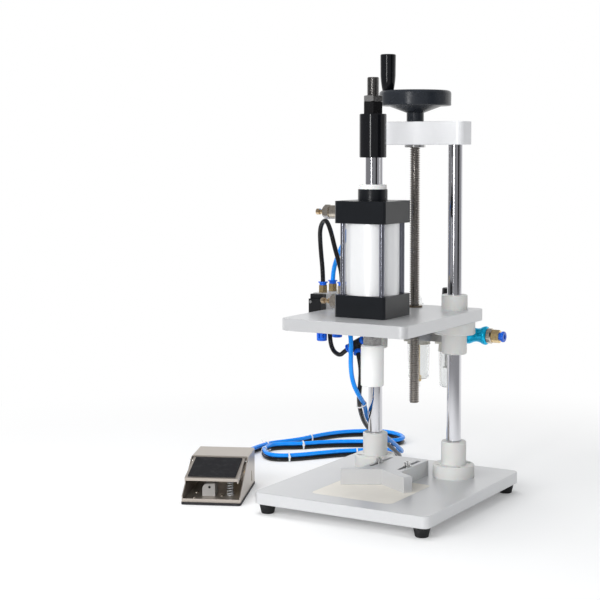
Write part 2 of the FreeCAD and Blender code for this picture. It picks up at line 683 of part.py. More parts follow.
def make_head_plate():
    """Head plate with its guide bushes, rings, lead nut and screws."""
    head = plate(
        -HEAD_WIDTH / 2, HEAD_WIDTH / 2, HEAD_FRONT, HEAD_BACK, HEAD_BOTTOM, HEAD_TOP, PLATE_CORNER, PLATE_CHAMFER
    )
    screws = []
    bushes = []
    rings = []
    seat = HEAD_BOTTOM - FLANGE_SEAT
    for x, y in COLUMNS:
        head = head.cut(cylinder(COLUMN_RADIUS + HOLE_GAP, HEAD_BOTTOM - 1, HEAD_TOP + 1, x, y))
        bush = turned(flange_profile(-1, HEAD_BOTTOM, FLANGE_THICK, GUIDE_HUB_BOTTOM), x, y)
        for sx, sy in around(FLANGE_PITCH_RADIUS, 4, x, y):
            head = head.cut(cylinder(M5 + SHAFT_GAP, HEAD_BOTTOM - 1, HEAD_BOTTOM + SCREW_BITE + 1, sx, sy))
            bush = bush.cut(cylinder(M5 + SHAFT_GAP, HEAD_BOTTOM - FLANGE_THICK - 1, HEAD_BOTTOM + 1, sx, sy))
            bush = bush.cut(cylinder(1.9 * M5, HEAD_BOTTOM - FLANGE_THICK - 1, seat, sx, sy))
            screws.append(socket_screw(M5, seat, FLANGE_SEAT + SCREW_BITE, sx, sy, down=False))
        bushes.append(bush)
        ring = turned(
            [
                (COLUMN_RADIUS + SHAFT_GAP, HEAD_TOP),
                (RING_RADIUS, HEAD_TOP),
                (RING_RADIUS, HEAD_TOP + RING_HEIGHT - 1.5),
                (RING_RADIUS - 1.5, HEAD_TOP + RING_HEIGHT),
                (COLUMN_RADIUS + SHAFT_GAP, HEAD_TOP + RING_HEIGHT),
            ],
            x,
            y,
        )
        rings.append(ring)
    head = head.cut(cylinder(LEAD_NUT_BARREL + PRESS_GAP, HEAD_BOTTOM - 1, HEAD_TOP + 1, 0, COLUMN_Y))
    head = head.cut(cylinder(LOWER_GLAND_RADIUS + PRESS_GAP, HEAD_BOTTOM - 1, HEAD_TOP + 1))
    nut_bottom = HEAD_BOTTOM - LEAD_NUT_FLANGE
    nut = turned(
        [
            (SCREW_RADIUS + SHAFT_GAP, nut_bottom),
            (LEAD_NUT_RADIUS, nut_bottom),
            (LEAD_NUT_RADIUS, HEAD_BOTTOM),
            (LEAD_NUT_BARREL, HEAD_BOTTOM),
            (LEAD_NUT_BARREL, HEAD_TOP + LEAD_NUT_PROUD),
            (SCREW_RADIUS + SHAFT_GAP, HEAD_TOP + LEAD_NUT_PROUD),
        ],
        0,
        COLUMN_Y,
    )
    for sx, sy in around(LEAD_NUT_PITCH, 4, 0, COLUMN_Y):
        nut = nut.cut(cylinder(M4 + SHAFT_GAP, nut_bottom - 1, HEAD_BOTTOM + 1, sx, sy))
        head = head.cut(cylinder(M4 + SHAFT_GAP, HEAD_BOTTOM - 1, HEAD_BOTTOM + SCREW_BITE + 1, sx, sy))
        screws.append(socket_screw(M4, nut_bottom, LEAD_NUT_FLANGE + SCREW_BITE, sx, sy, down=False))
    plate_seat = HEAD_BOTTOM + 2 * M8 + 0.6
    for x, y in TIE_PLACES:
        head = head.cut(cylinder(M8 + SHAFT_GAP, HEAD_BOTTOM - 1, HEAD_TOP + 1, x, y))
        head = head.cut(cylinder(1.8 * M8, HEAD_BOTTOM - 1, plate_seat, x, y))
        screws.append(socket_screw(M8, plate_seat, HEAD_TOP - plate_seat + SCREW_BITE, x, y, down=False))
    for y in (VALVE_SCREW_FRONT_Y, VALVE_SCREW_BACK_Y):
        head = head.cut(bar(M4 + SHAFT_GAP, Vector(VALVE_RIGHT - 1, y, VALVE_SCREW_Z), Vector(1, 0, 0), SCREW_BITE + 2))
        screw = socket_screw(M4, 0, VALVE_WIDTH + SCREW_BITE, 0, 0)
        screws.append(aimed(screw, Vector(VALVE_LEFT, y, VALVE_SCREW_Z), Vector(-1, 0, 0)))
    for x in BRACKET_SCREWS:
        hole = Vector(x, HEAD_BACK + 1, HEAD_BOTTOM + HEAD_THICK / 2)
        head = head.cut(bar(M5 + SHAFT_GAP, hole, Vector(0, -1, 0), SCREW_BITE + 2))
        screw = socket_screw(M5, 0, BRACKET_THICK + SCREW_BITE, 0, 0)
        screws.append(aimed(screw, Vector(x, HEAD_BACK + BRACKET_THICK, hole.z), Vector(0, 1, 0)))
    save("head_plate", head)
    save("guide_bushes", *bushes)
    save("bush_rings", *rings)
    save("lead_nut", nut)
    return screws


AIR_BODY_FRONT = HEAD_BACK + BRACKET_THICK
AIR_MIDDLE_Y = AIR_BODY_FRONT + AIR_BODY_DEPTH / 2
BRACKET_SCREWS = (OILER_X + 12.0, FILTER_X - 12.0)


def make_cylinder():
    """Tie rod cylinder: caps, barrel, tie rods with nuts, glands and bumper ring."""
    half = CAP_SIDE / 2
    caps = []
    for low, inner in ((HEAD_TOP, LOWER_CAP_TOP), (UPPER_CAP_BOTTOM, UPPER_CAP_BOTTOM)):
        cap = block(-half, half, -half, half, low, low + CAP_THICK)
        cap = cap.makeChamfer(CAP_CHAMFER, upright_edges(cap))
        cap = cap.cut(cylinder(ROD_RADIUS + HOLE_GAP, low - 1, low + CAP_THICK + 1))
        for x, y in TIE_PLACES:
            cap = cap.cut(cylinder(TIE_RADIUS + SHAFT_GAP, low - 1, low + CAP_THICK + 1, x, y))
        caps.append(cap)
    lower_spigot = HEAD_TOP + GLAND_SPIGOT_DEPTH
    upper_spigot = UPPER_CAP_TOP - GLAND_SPIGOT_DEPTH
    caps[0] = caps[0].cut(cylinder(GLAND_SPIGOT + PRESS_GAP, HEAD_TOP - 1, lower_spigot))
    caps[1] = caps[1].cut(cylinder(GLAND_SPIGOT + PRESS_GAP, upper_spigot, UPPER_CAP_TOP + 1))
    nut_seat = UPPER_CAP_TOP - TIE_NUT_DEPTH
    for x, y in TIE_PLACES:
        caps[1] = caps[1].cut(cylinder(TIE_NUT_RADIUS + 0.5, nut_seat, UPPER_CAP_TOP + 1, x, y))
    for index, z in enumerate((BOTTOM_CONTROL_Z, TOP_CONTROL_Z)):
        hole = bar(PORT_RADIUS + PRESS_GAP, Vector(-half - 1, 0, z), Vector(1, 0, 0), PORT_DEPTH + 1)
        caps[index] = caps[index].cut(hole)
    save("cylinder_caps", *caps)
    barrel = cylinder(BARREL_RADIUS, LOWER_CAP_TOP, UPPER_CAP_BOTTOM)
    save("cylinder_barrel", barrel.cut(cylinder(BORE_RADIUS, LOWER_CAP_TOP - 1, UPPER_CAP_BOTTOM + 1)))
    ties = []
    tie_low = HEAD_TOP + SCREW_BITE + 2
    for x, y in TIE_PLACES:
        tie = cylinder(TIE_RADIUS, tie_low, UPPER_CAP_TOP - 3, x, y)
        nut = cylinder(TIE_NUT_RADIUS, nut_seat, UPPER_CAP_TOP - 1.5, x, y)
        ties.append(tie.fuse(nut).removeSplitter())
    save("tie_rods", *ties)
    bore = ROD_RADIUS + SHAFT_GAP
    upper = turned(
        [
            (bore, upper_spigot),
            (GLAND_SPIGOT, upper_spigot),
            (GLAND_SPIGOT, UPPER_CAP_TOP),
            (GLAND_RADIUS, UPPER_CAP_TOP),
            (GLAND_RADIUS, GLAND_TOP - 1),
            (GLAND_RADIUS - 1, GLAND_TOP),
            (bore, GLAND_TOP),
        ]
    )
    lower = turned(
        [
            (bore, LOWER_GLAND_BOTTOM),
            (LOWER_GLAND_RADIUS - 1, LOWER_GLAND_BOTTOM),
            (LOWER_GLAND_RADIUS, LOWER_GLAND_BOTTOM + 1),
            (LOWER_GLAND_RADIUS, HEAD_TOP),
            (GLAND_SPIGOT, HEAD_TOP),
            (GLAND_SPIGOT, lower_spigot),
            (bore, lower_spigot),
        ]
    )
    save("rod_glands", upper, lower)
    ring = turned(
        [
            (bore, GLAND_TOP),
            (BUMPER_RADIUS, GLAND_TOP),
            (BUMPER_RADIUS, BUMPER_TOP - 1.2),
            (BUMPER_RADIUS - 1.2, BUMPER_TOP),
            (bore, BUMPER_TOP),
        ]
    )
    save("bumper_ring", ring)


def make_rod():
    """Double ended piston rod with piston, stop sleeve, nuts and capping head."""
    thread_low = CAPPER_TOP - CAPPER_THREAD + 1
    shoulder = SLEEVE_BOTTOM + SLEEVE_SHOULDER
    rod = turned(
        [
            (0, thread_low),
            (ROD_THREAD_RADIUS - 1.5, thread_low),
            (ROD_THREAD_RADIUS, thread_low + 1.5),
            (ROD_THREAD_RADIUS, LOWER_NUT_TOP),
            (ROD_RADIUS, LOWER_NUT_TOP),
            (ROD_RADIUS, shoulder),
            (ROD_THREAD_RADIUS, shoulder),
            (ROD_THREAD_RADIUS, ROD_TOP - 1.5),
            (ROD_THREAD_RADIUS - 1.5, ROD_TOP),
            (0, ROD_TOP),
        ]
    )
    save("piston_rod", rod)
    piston_top = UPPER_CAP_BOTTOM - PISTON_TOP_GAP
    piston = cylinder(BORE_RADIUS - SHAFT_GAP, piston_top - PISTON_THICK, piston_top)
    save("piston", piston.cut(cylinder(ROD_RADIUS + PRESS_GAP, piston_top - PISTON_THICK - 1, piston_top + 1)))
    sleeve = turned(
        [
            (ROD_RADIUS + PRESS_GAP, SLEEVE_BOTTOM),
            (SLEEVE_RADIUS - 1, SLEEVE_BOTTOM),
            (SLEEVE_RADIUS, SLEEVE_BOTTOM + 1),
            (SLEEVE_RADIUS, SLEEVE_TOP - 1),
            (SLEEVE_RADIUS - 1, SLEEVE_TOP),
            (ROD_THREAD_RADIUS + PRESS_GAP, SLEEVE_TOP),
            (ROD_THREAD_RADIUS + PRESS_GAP, shoulder),
            (ROD_RADIUS + PRESS_GAP, shoulder),
        ]
    )
    save("stop_sleeve", sleeve)
    nuts = []
    for low, high in (
        (SLEEVE_TOP, SLEEVE_TOP + TALL_NUT),
        (SLEEVE_TOP + TALL_NUT, SLEEVE_TOP + TALL_NUT + THIN_NUT),
        (CAPPER_TOP, LOWER_NUT_TOP),
    ):
        nut = prism(ROD_NUT_FLATS, low, high)
        nuts.append(nut.cut(cylinder(ROD_THREAD_RADIUS + PRESS_GAP, low - 1, high + 1)))
    save("rod_nuts", *nuts)
    capper = turned(
        [
            (0, CAPPER_TOP - CAPPER_THREAD),
            (0, CAPPER_BOTTOM + POCKET_DEPTH),
            (POCKET_RADIUS, CAPPER_BOTTOM + POCKET_DEPTH),
            (POCKET_RADIUS, CAPPER_BOTTOM + 1),
            (POCKET_RADIUS + 1, CAPPER_BOTTOM),
            (CAPPER_RADIUS - 1, CAPPER_BOTTOM),
            (CAPPER_RADIUS, CAPPER_BOTTOM + 1),
            (CAPPER_RADIUS, CAPPER_TOP - 2),
            (CAPPER_RADIUS - 2, CAPPER_TOP),
            (ROD_THREAD_RADIUS + PRESS_GAP, CAPPER_TOP),
            (ROD_THREAD_RADIUS + PRESS_GAP, CAPPER_TOP - CAPPER_THREAD),
        ]
    )
    save("capping_head", capper)


def make_controller(z, reach, port_way):
    """Speed controller on a cap's left face; returns body, nickel hexagons and release collar."""
    face = Vector(-CAP_SIDE / 2, 0, z)
    out = Vector(-1, 0, 0)
    turn = FreeCAD.Rotation(Vector(0, 0, 1), out)
    stem_hole = cylinder(NEEDLE_RADIUS + SHAFT_GAP, reach + CONTROL_NUT - NEEDLE_INSIDE, reach + CONTROL_NUT + 1)
    body = turned(
        [
            (0, CONTROL_BASE),
            (CONTROL_RADIUS - 1, CONTROL_BASE),
            (CONTROL_RADIUS, CONTROL_BASE + 1),
            (CONTROL_RADIUS, reach - 2),
            (CONTROL_RADIUS - 2, reach),
            (0, reach),
        ]
    )
    middle = (CONTROL_BASE + reach) / 2
    side = turn.inverted().multVec(port_way)
    port = bar(CONTROL_PORT_RADIUS, Vector(0, 0, middle), side, CONTROL_PORT)
    bore_start = Vector(0, 0, middle) + side * (CONTROL_PORT + COLLAR_REACH - HOSE_GRIP)
    body = body.fuse(port).removeSplitter()
    body = body.cut(bar(HOSE_RADIUS + SHAFT_GAP, bore_start, side, HOSE_GRIP)).cut(stem_hole)
    base = prism(CONTROL_BASE_FLATS, 0, CONTROL_BASE).fuse(cylinder(PORT_RADIUS, -PORT_DEPTH, 0))
    nut = prism(CONTROL_NUT_FLATS, reach, reach + CONTROL_NUT).cut(stem_hole)
    collar_seat = face + out * middle + port_way * CONTROL_PORT
    return (
        aimed(body, face, out),
        [aimed(base, face, out), aimed(nut, face, out)],
        aimed(release_collar(0), collar_seat, port_way),
    )


def make_needle(name, z, reach, extension):
    """Adjusting needle of a speed controller: a brass stem with a ridge, ended by a nickel knob."""
    nut_end = reach + CONTROL_NUT
    low = nut_end - NEEDLE_INSIDE + 1
    knob_low = nut_end + extension
    ridge = nut_end + 0.45 * extension
    knob_high = knob_low + NEEDLE_KNOB
    needle = turned(
        [
            (0, low),
            (NEEDLE_RADIUS, low),
            (NEEDLE_RADIUS, ridge - 1.2),
            (NEEDLE_RADIUS + 1.4, ridge - 0.6),
            (NEEDLE_RADIUS + 1.4, ridge + 1.2),
            (NEEDLE_RADIUS, ridge + 1.8),
            (NEEDLE_RADIUS, knob_low),
            (NEEDLE_KNOB_RADIUS, knob_low),
            (NEEDLE_KNOB_RADIUS, knob_high - 1),
            (NEEDLE_KNOB_RADIUS - 1, knob_high),
            (0, knob_high),
        ]
    )
    slot = block(-NEEDLE_KNOB_RADIUS, NEEDLE_KNOB_RADIUS, -0.5, 0.5, knob_high - 1.5, knob_high + 1)
    save(name, aimed(needle.cut(slot), Vector(-CAP_SIDE / 2, 0, z), Vector(-1, 0, 0)))


def make_valve():
    """Air piloted valve on the plate's left edge; returns screws, fittings and collars."""
    body = block(VALVE_LEFT, VALVE_RIGHT, VALVE_FRONT, VALVE_BACK, VALVE_BOTTOM, VALVE_TOP)
    long_edges = [edge for edge in body.Edges if edge.BoundBox.YLength > 1]
    body = body.makeChamfer(PLATE_CHAMFER, long_edges)
    fittings = []
    collars = []
    up = Vector(0, 0, 1)
    down = Vector(0, 0, -1)
    stub_hole = FITTING_STUB_RADIUS + PRESS_GAP
    for y in (OUTLET_A_Y, OUTLET_B_Y):
        body = body.cut(cylinder(stub_hole, VALVE_TOP - FITTING_STUB - 1, VALVE_TOP + 1, VALVE_X, y))
        brass, collar = push_in(Vector(VALVE_X, y, VALVE_TOP), up)
        fittings.append(brass)
        collars.append(collar)
    for y in (EXHAUST_FRONT_Y, SUPPLY_Y, EXHAUST_BACK_Y):
        body = body.cut(cylinder(stub_hole, VALVE_BOTTOM - 1, VALVE_BOTTOM + FITTING_STUB + 1, VALVE_X, y))
    brass, collar = push_in(Vector(VALVE_X, SUPPLY_Y, VALVE_BOTTOM), down)
    fittings.append(brass)
    collars.append(collar)
    for y in (VALVE_SCREW_FRONT_Y, VALVE_SCREW_BACK_Y):
        body = body.cut(bar(M4 + SHAFT_GAP, Vector(VALVE_LEFT - 1, y, VALVE_SCREW_Z), Vector(1, 0, 0), VALVE_WIDTH + 2))
    cap_screws = []
    caps = []
    for face, way in ((VALVE_FRONT, -1.0), (VALVE_BACK, 1.0)):
        far = face + way * VALVE_CAP
        cap = block(
            VALVE_LEFT + VALVE_CAP_INSET,
            VALVE_RIGHT - VALVE_CAP_INSET,
            min(face, far),
            max(face, far),
            VALVE_BOTTOM + VALVE_CAP_INSET,
            VALVE_TOP - VALVE_CAP_INSET,
        )
        cap = cap.makeChamfer(PLATE_CHAMFER, [edge for edge in cap.Edges if edge.BoundBox.YLength > 1])
        step = far - way * VALVE_CAP / 3
        cap = cap.cut(
            block(VALVE_LEFT, VALVE_RIGHT, min(step, far + way), max(step, far + way), VALVE_TOP - VALVE_STEP, VALVE_TOP)
        )
        for x, z in ((VALVE_LEFT + 6, VALVE_TOP - 14), (VALVE_RIGHT - 6, VALVE_BOTTOM + 6)):
            cap = cap.cut(bar(M3 + SHAFT_GAP, Vector(x, face, z), Vector(0, way, 0), VALVE_CAP + 1))
            body = body.cut(bar(M3 + SHAFT_GAP, Vector(x, face + way, z), Vector(0, -way, 0), SCREW_BITE))
            screw = socket_screw(M3, 0, VALVE_CAP + SCREW_BITE - 2, 0, 0)
            cap_screws.append(aimed(screw, Vector(x, far, z), Vector(0, way, 0)))
        caps.append(cap)
    pilot_face = Vector(VALVE_X, VALVE_BACK + VALVE_CAP, PILOT_Z)
    caps[1] = caps[1].cut(bar(stub_hole, pilot_face + Vector(0, 1, 0), Vector(0, -1, 0), FITTING_STUB + 2))
    brass, collar = push_in(pilot_face, Vector(0, 1, 0))
    fittings.append(brass)
    collars.append(collar)
    save("valve_body", body)
    save("valve_end_caps", *caps)
    silencers = []
    for y in (EXHAUST_FRONT_Y, EXHAUST_BACK_Y):
        silencer = turned(
            [
                (0, VALVE_BOTTOM + FITTING_STUB),
                (FITTING_STUB_RADIUS, VALVE_BOTTOM + FITTING_STUB),
                (FITTING_STUB_RADIUS, VALVE_BOTTOM),
                (SILENCER_RADIUS, VALVE_BOTTOM),
                (SILENCER_RADIUS, VALVE_BOTTOM - SILENCER_LENGTH + 1),
                (SILENCER_RADIUS - 1, VALVE_BOTTOM - SILENCER_LENGTH),
                (0, VALVE_BOTTOM - SILENCER_LENGTH),
            ],
            VALVE_X,
            y,
        )
        slot_low = VALVE_BOTTOM - SILENCER_LENGTH + 6
        for step in range(SILENCER_SLOTS // 2):
            slot = block(
                -SILENCER_RADIUS - 1,
                SILENCER_RADIUS + 1,
                -SILENCER_SLOT_WIDTH / 2,
                SILENCER_SLOT_WIDTH / 2,
                slot_low,
                slot_low + SILENCER_SLOT_LENGTH,
            )
            slot = slot.cut(cylinder(SILENCER_RADIUS - 2.5, slot_low - 1, slot_low + SILENCER_SLOT_LENGTH + 1))
            slot.rotate(Vector(0, 0, 0), Vector(0, 0, 1), 360.0 * step / SILENCER_SLOTS)
            slot.translate(Vector(VALVE_X, y, 0))
            silencer = silencer.cut(slot)
        silencers.append(silencer)
    save("exhaust_silencers", *silencers)
    return cap_screws, fittings, collars


def make_air_unit():
    """Filter regulator and oiler behind the plate; returns brass fittings and collars."""
    bodies = []
    for x, low in ((FILTER_X, FILTER_BODY_BOTTOM), (OILER_X, OILER_BODY_BOTTOM)):
        half = AIR_BODY_WIDTH / 2
        body = block(x - half, x + half, AIR_BODY_FRONT, AIR_BODY_FRONT + AIR_BODY_DEPTH, AIR_SHOULDER, AIR_BODY_TOP)
        body = body.makeFillet(4.0, upright_edges(body))
        skirt = turned(
            [(0, low), (BOWL_TOP_RADIUS + 0.5, low), (BOWL_TOP_RADIUS - 0.5, AIR_SHOULDER), (0, AIR_SHOULDER)],
            x,
            AIR_MIDDLE_Y,
        )
        body = body.fuse(skirt).removeSplitter()
        body = body.cut(cylinder(BOWL_TOP_RADIUS - 3 + SHAFT_GAP, low - 1, low + BOWL_ENTRY, x, AIR_MIDDLE_Y))
        bodies.append(body)
    axis = Vector(0, AIR_MIDDLE_Y, AIR_AXIS_Z)
    half = AIR_BODY_WIDTH / 2
    neck = turned([(0, AIR_BODY_TOP), (12, AIR_BODY_TOP), (12, REGULATOR_NECK_TOP), (5, REGULATOR_NECK_TOP), (5, REGULATOR_NECK_TOP + 8), (0, REGULATOR_NECK_TOP + 8)], FILTER_X, AIR_MIDDLE_Y)
    bodies[0] = bodies[0].fuse(neck)
    outlet = axis + Vector(OILER_X - half, 0, 0)
    bodies[1] = bodies[1].cut(bar(FITTING_STUB_RADIUS + PRESS_GAP, outlet - Vector(1, 0, 0), Vector(1, 0, 0), FITTING_STUB + 2))
    joint_start = OILER_X + half
    joiner = bar(11, axis + Vector(joint_start, 0, 0), Vector(1, 0, 0), FILTER_X - half - joint_start)
    dome_neck = AIR_BODY_TOP + 14
    bulge = math.sqrt(0.5)
    dome = turned(
        [
            (0, AIR_BODY_TOP),
            (9, AIR_BODY_TOP),
            (8, dome_neck),
            (DOME_RADIUS, dome_neck),
            (DOME_RADIUS, DOME_TOP - DOME_RADIUS),
            (DOME_RADIUS * bulge, DOME_TOP - DOME_RADIUS * (1 - bulge), 0, DOME_TOP),
        ],
        OILER_X,
        AIR_MIDDLE_Y,
    )
    save("air_unit_bodies", bodies[0], bodies[1], joiner)
    save("oiler_dome", dome)
    bowls = []
    for x, low, top in (
        (FILTER_X, FILTER_BOWL_BOTTOM, FILTER_BODY_BOTTOM),
        (OILER_X, OILER_BOWL_BOTTOM, OILER_BODY_BOTTOM),
    ):
        wall = BOWL_WALL
        bowl = turned(
            [
                (0, low),
                (BOWL_FOOT_RADIUS - 5, low),
                (BOWL_FOOT_RADIUS - 1.5, low + 1.5, BOWL_FOOT_RADIUS, low + 5),
                (BOWL_TOP_RADIUS, top),
                (BOWL_TOP_RADIUS - 3, top),
                (BOWL_TOP_RADIUS - 3, top + BOWL_ENTRY - 1),
                (BOWL_TOP_RADIUS - 3 - wall, top + BOWL_ENTRY - 1),
                (BOWL_TOP_RADIUS - 3 - wall, top - 4),
                (BOWL_FOOT_RADIUS - wall, low + 6),
                (BOWL_FOOT_RADIUS - 2 * wall, low + wall),
                (0, low + wall),
            ],
            x,
            AIR_MIDDLE_Y,
        )
        drain = turned(
            [
                (0, low),
                (DRAIN_RADIUS, low),
                (DRAIN_RADIUS, low - 5),
                (DRAIN_RADIUS - 2, low - 6),
                (DRAIN_RADIUS - 2, low - DRAIN_LENGTH),
                (0, low - DRAIN_LENGTH),
            ],
            x,
            AIR_MIDDLE_Y,
        )
        bowls.append(bowl.fuse(drain).removeSplitter())
    save("air_unit_bowls", *bowls)
    bracket_middle = (FILTER_X + OILER_X) / 2
    bracket = block(
        bracket_middle - BRACKET_WIDTH / 2,
        bracket_middle + BRACKET_WIDTH / 2,
        HEAD_BACK,
        AIR_BODY_FRONT,
        BRACKET_BOTTOM,
        HEAD_TOP - 1,
    )
    screws = []
    for x in BRACKET_SCREWS:
        z = HEAD_BOTTOM + HEAD_THICK / 2
        bracket = bracket.cut(bar(M5 + SHAFT_GAP, Vector(x, HEAD_BACK - 1, z), Vector(0, 1, 0), BRACKET_THICK + 2))
    for x in (OILER_X, FILTER_X):
        seat = Vector(x, HEAD_BACK, BRACKET_BOTTOM + 6)
        hole = bar(M4 + SHAFT_GAP, seat - Vector(0, 1, 0), Vector(0, 1, 0), BRACKET_THICK + 10)
        bracket = bracket.cut(hole)
        index = 0 if x == FILTER_X else 1
        bodies[index] = bodies[index].cut(hole)
        screws.append(aimed(socket_screw(M4, 0, BRACKET_THICK + 7, 0, 0), seat, Vector(0, -1, 0)))
    save("air_unit_bodies", bodies[0], bodies[1], joiner)
    save("air_unit_bracket", bracket)
    knob_low = REGULATOR_NECK_TOP + FACE_GAP
    knob = turned(
        [
            (5 + SHAFT_GAP, knob_low),
            (REGULATOR_RADIUS - 1, knob_low),
            (REGULATOR_RADIUS, knob_low + 1),
            (REGULATOR_RADIUS, knob_low + 13),
            (REGULATOR_RADIUS - 1.6, knob_low + 14.5),
            (REGULATOR_RADIUS - 1.6, knob_low + 16),
            (REGULATOR_RADIUS - 0.3, knob_low + 17.5),
            (REGULATOR_RADIUS - 1.2, REGULATOR_TOP - 2),
            (REGULATOR_RADIUS - 1.9, REGULATOR_TOP - 0.6, REGULATOR_RADIUS - 3.2, REGULATOR_TOP),
            (0, REGULATOR_TOP),
            (0, knob_low + 9),
            (5 + SHAFT_GAP, knob_low + 9),
        ],
        FILTER_X,
        AIR_MIDDLE_Y,
    )
    save("regulator_knob", knob)
    elbow_way = Vector(0, -1, 0)
    elbow_x = ELBOW_REACH
    elbow = bar(7.0, outlet, Vector(-1, 0, 0), elbow_x + 7.0).fuse(bar(FITTING_STUB_RADIUS, outlet, Vector(1, 0, 0), FITTING_STUB))
    elbow_middle = outlet + Vector(-elbow_x, 0, 0)
    elbow = elbow.fuse(bar(7.0, elbow_middle, elbow_way, ELBOW_ARM))
    elbow = elbow.cut(bar(HOSE_RADIUS + SHAFT_GAP, elbow_middle + elbow_way * (ELBOW_ARM + COLLAR_REACH - HOSE_GRIP), elbow_way, HOSE_GRIP))
    collar = aimed(release_collar(0), elbow_middle + elbow_way * ELBOW_ARM, elbow_way)
    return screws, [elbow], [collar]


AIR_SHOULDER = 222.0
BOWL_ENTRY = 6.0
ELBOW_REACH = 9.0
ELBOW_ARM = 11.0
ELBOW_X = OILER_X - AIR_BODY_WIDTH / 2 - ELBOW_REACH


def make_slide_valve():
    """Hand slide valve on the filter's right side; returns nickel pieces, brass and collar."""
    start = Vector(FILTER_X + AIR_BODY_WIDTH / 2, AIR_MIDDLE_Y, AIR_AXIS_Z)
    right = Vector(1, 0, 0)
    spool = bar(SPOOL_RADIUS, start, right, SPOOL_END_X - start.x)
    ring_end = SPOOL_END_X + SLIDE_RING_WIDTH
    ring = turned(
        [
            (0, 0),
            (SLIDE_RING_RADIUS - 1, 0),
            (SLIDE_RING_RADIUS, 1),
            (SLIDE_RING_RADIUS, SLIDE_RING_WIDTH - 2),
            (SLIDE_RING_RADIUS - 2, SLIDE_RING_WIDTH),
            (0, SLIDE_RING_WIDTH),
        ]
    )
    spool = spool.fuse(aimed(ring, Vector(SPOOL_END_X, start.y, start.z), right)).removeSplitter()
    bore = SPOOL_RADIUS + SHAFT_GAP
    length = SLIDE_SLEEVE_LENGTH
    bulge = SLIDE_SLEEVE_BULGE
    waist = SLIDE_SLEEVE_WAIST
    sleeve = turned(
        [
            (bore, 0),
            (bulge - 3, 0),
            (bulge - 0.6, 1.5, bulge, 0.13 * length),
            (bulge - 0.8, 0.21 * length, bulge - 2, 0.27 * length),
            (waist, 0.5 * length, bulge - 2, 0.73 * length),
            (bulge - 0.8, 0.79 * length, bulge, 0.87 * length),
            (bulge - 0.6, length - 1.5, bulge - 3, length),
            (bore, length),
        ]
    )
    save("slide_sleeve", aimed(sleeve, Vector(SLEEVE_START_X, start.y, start.z), right))
    inlet_length = INLET_HEX_LENGTH
    inlet = prism(INLET_FLATS, 0, inlet_length).cut(cylinder(INLET_BORE_RADIUS, 2, inlet_length + 1))
    collar = turned(
        [
            (INLET_BORE_RADIUS, 0),
            (INLET_COLLAR_RADIUS - 2, 0),
            (INLET_COLLAR_RADIUS - 2, 3),
            (INLET_COLLAR_RADIUS, 4),
            (INLET_COLLAR_RADIUS, INLET_COLLAR_LENGTH - 1),
            (INLET_COLLAR_RADIUS - 1, INLET_COLLAR_LENGTH),
            (INLET_BORE_RADIUS, INLET_COLLAR_LENGTH),
        ]
    )
    brass = aimed(inlet, Vector(ring_end, start.y, start.z), right)
    return [spool], [brass], [aimed(collar, Vector(ring_end + inlet_length, start.y, start.z), right)]


def make_tee():
    """Push-in tee: three arms with release collars; returns the collars."""
    run = Vector(TEE_RUN)
    run.normalize()
    branch = Vector(TEE_BRANCH)
    branch.normalize()
    tee = None
    collars = []
    for way in (run, run * -1.0, branch):
        arm = bar(TEE_RADIUS + 1.0, TEE_CENTRE, way, TEE_ARM)
        tee = arm if tee is None else tee.fuse(arm)
        collars.append(aimed(release_collar(0), TEE_CENTRE + way * TEE_ARM, way))
    tee = tee.removeSplitter()
    for way in (run, run * -1.0, branch):
        bore_start = TEE_CENTRE + way * (TEE_ARM + COLLAR_REACH - HOSE_GRIP)
        tee = tee.cut(bar(HOSE_RADIUS + SHAFT_GAP, bore_start, way, HOSE_GRIP))
    save("tee_fitting", tee)
    return collars


def tee_end(way, depth):
    """Point on an arm of the tee, a given depth inside its collar's mouth."""
    direction = Vector(way)
    direction.normalize()
    return TEE_CENTRE + direction * (TEE_ARM + COLLAR_REACH - depth)


HOSE_DEPTH = HOSE_GRIP - 1.0
STRAIGHT_OUT = 14.0


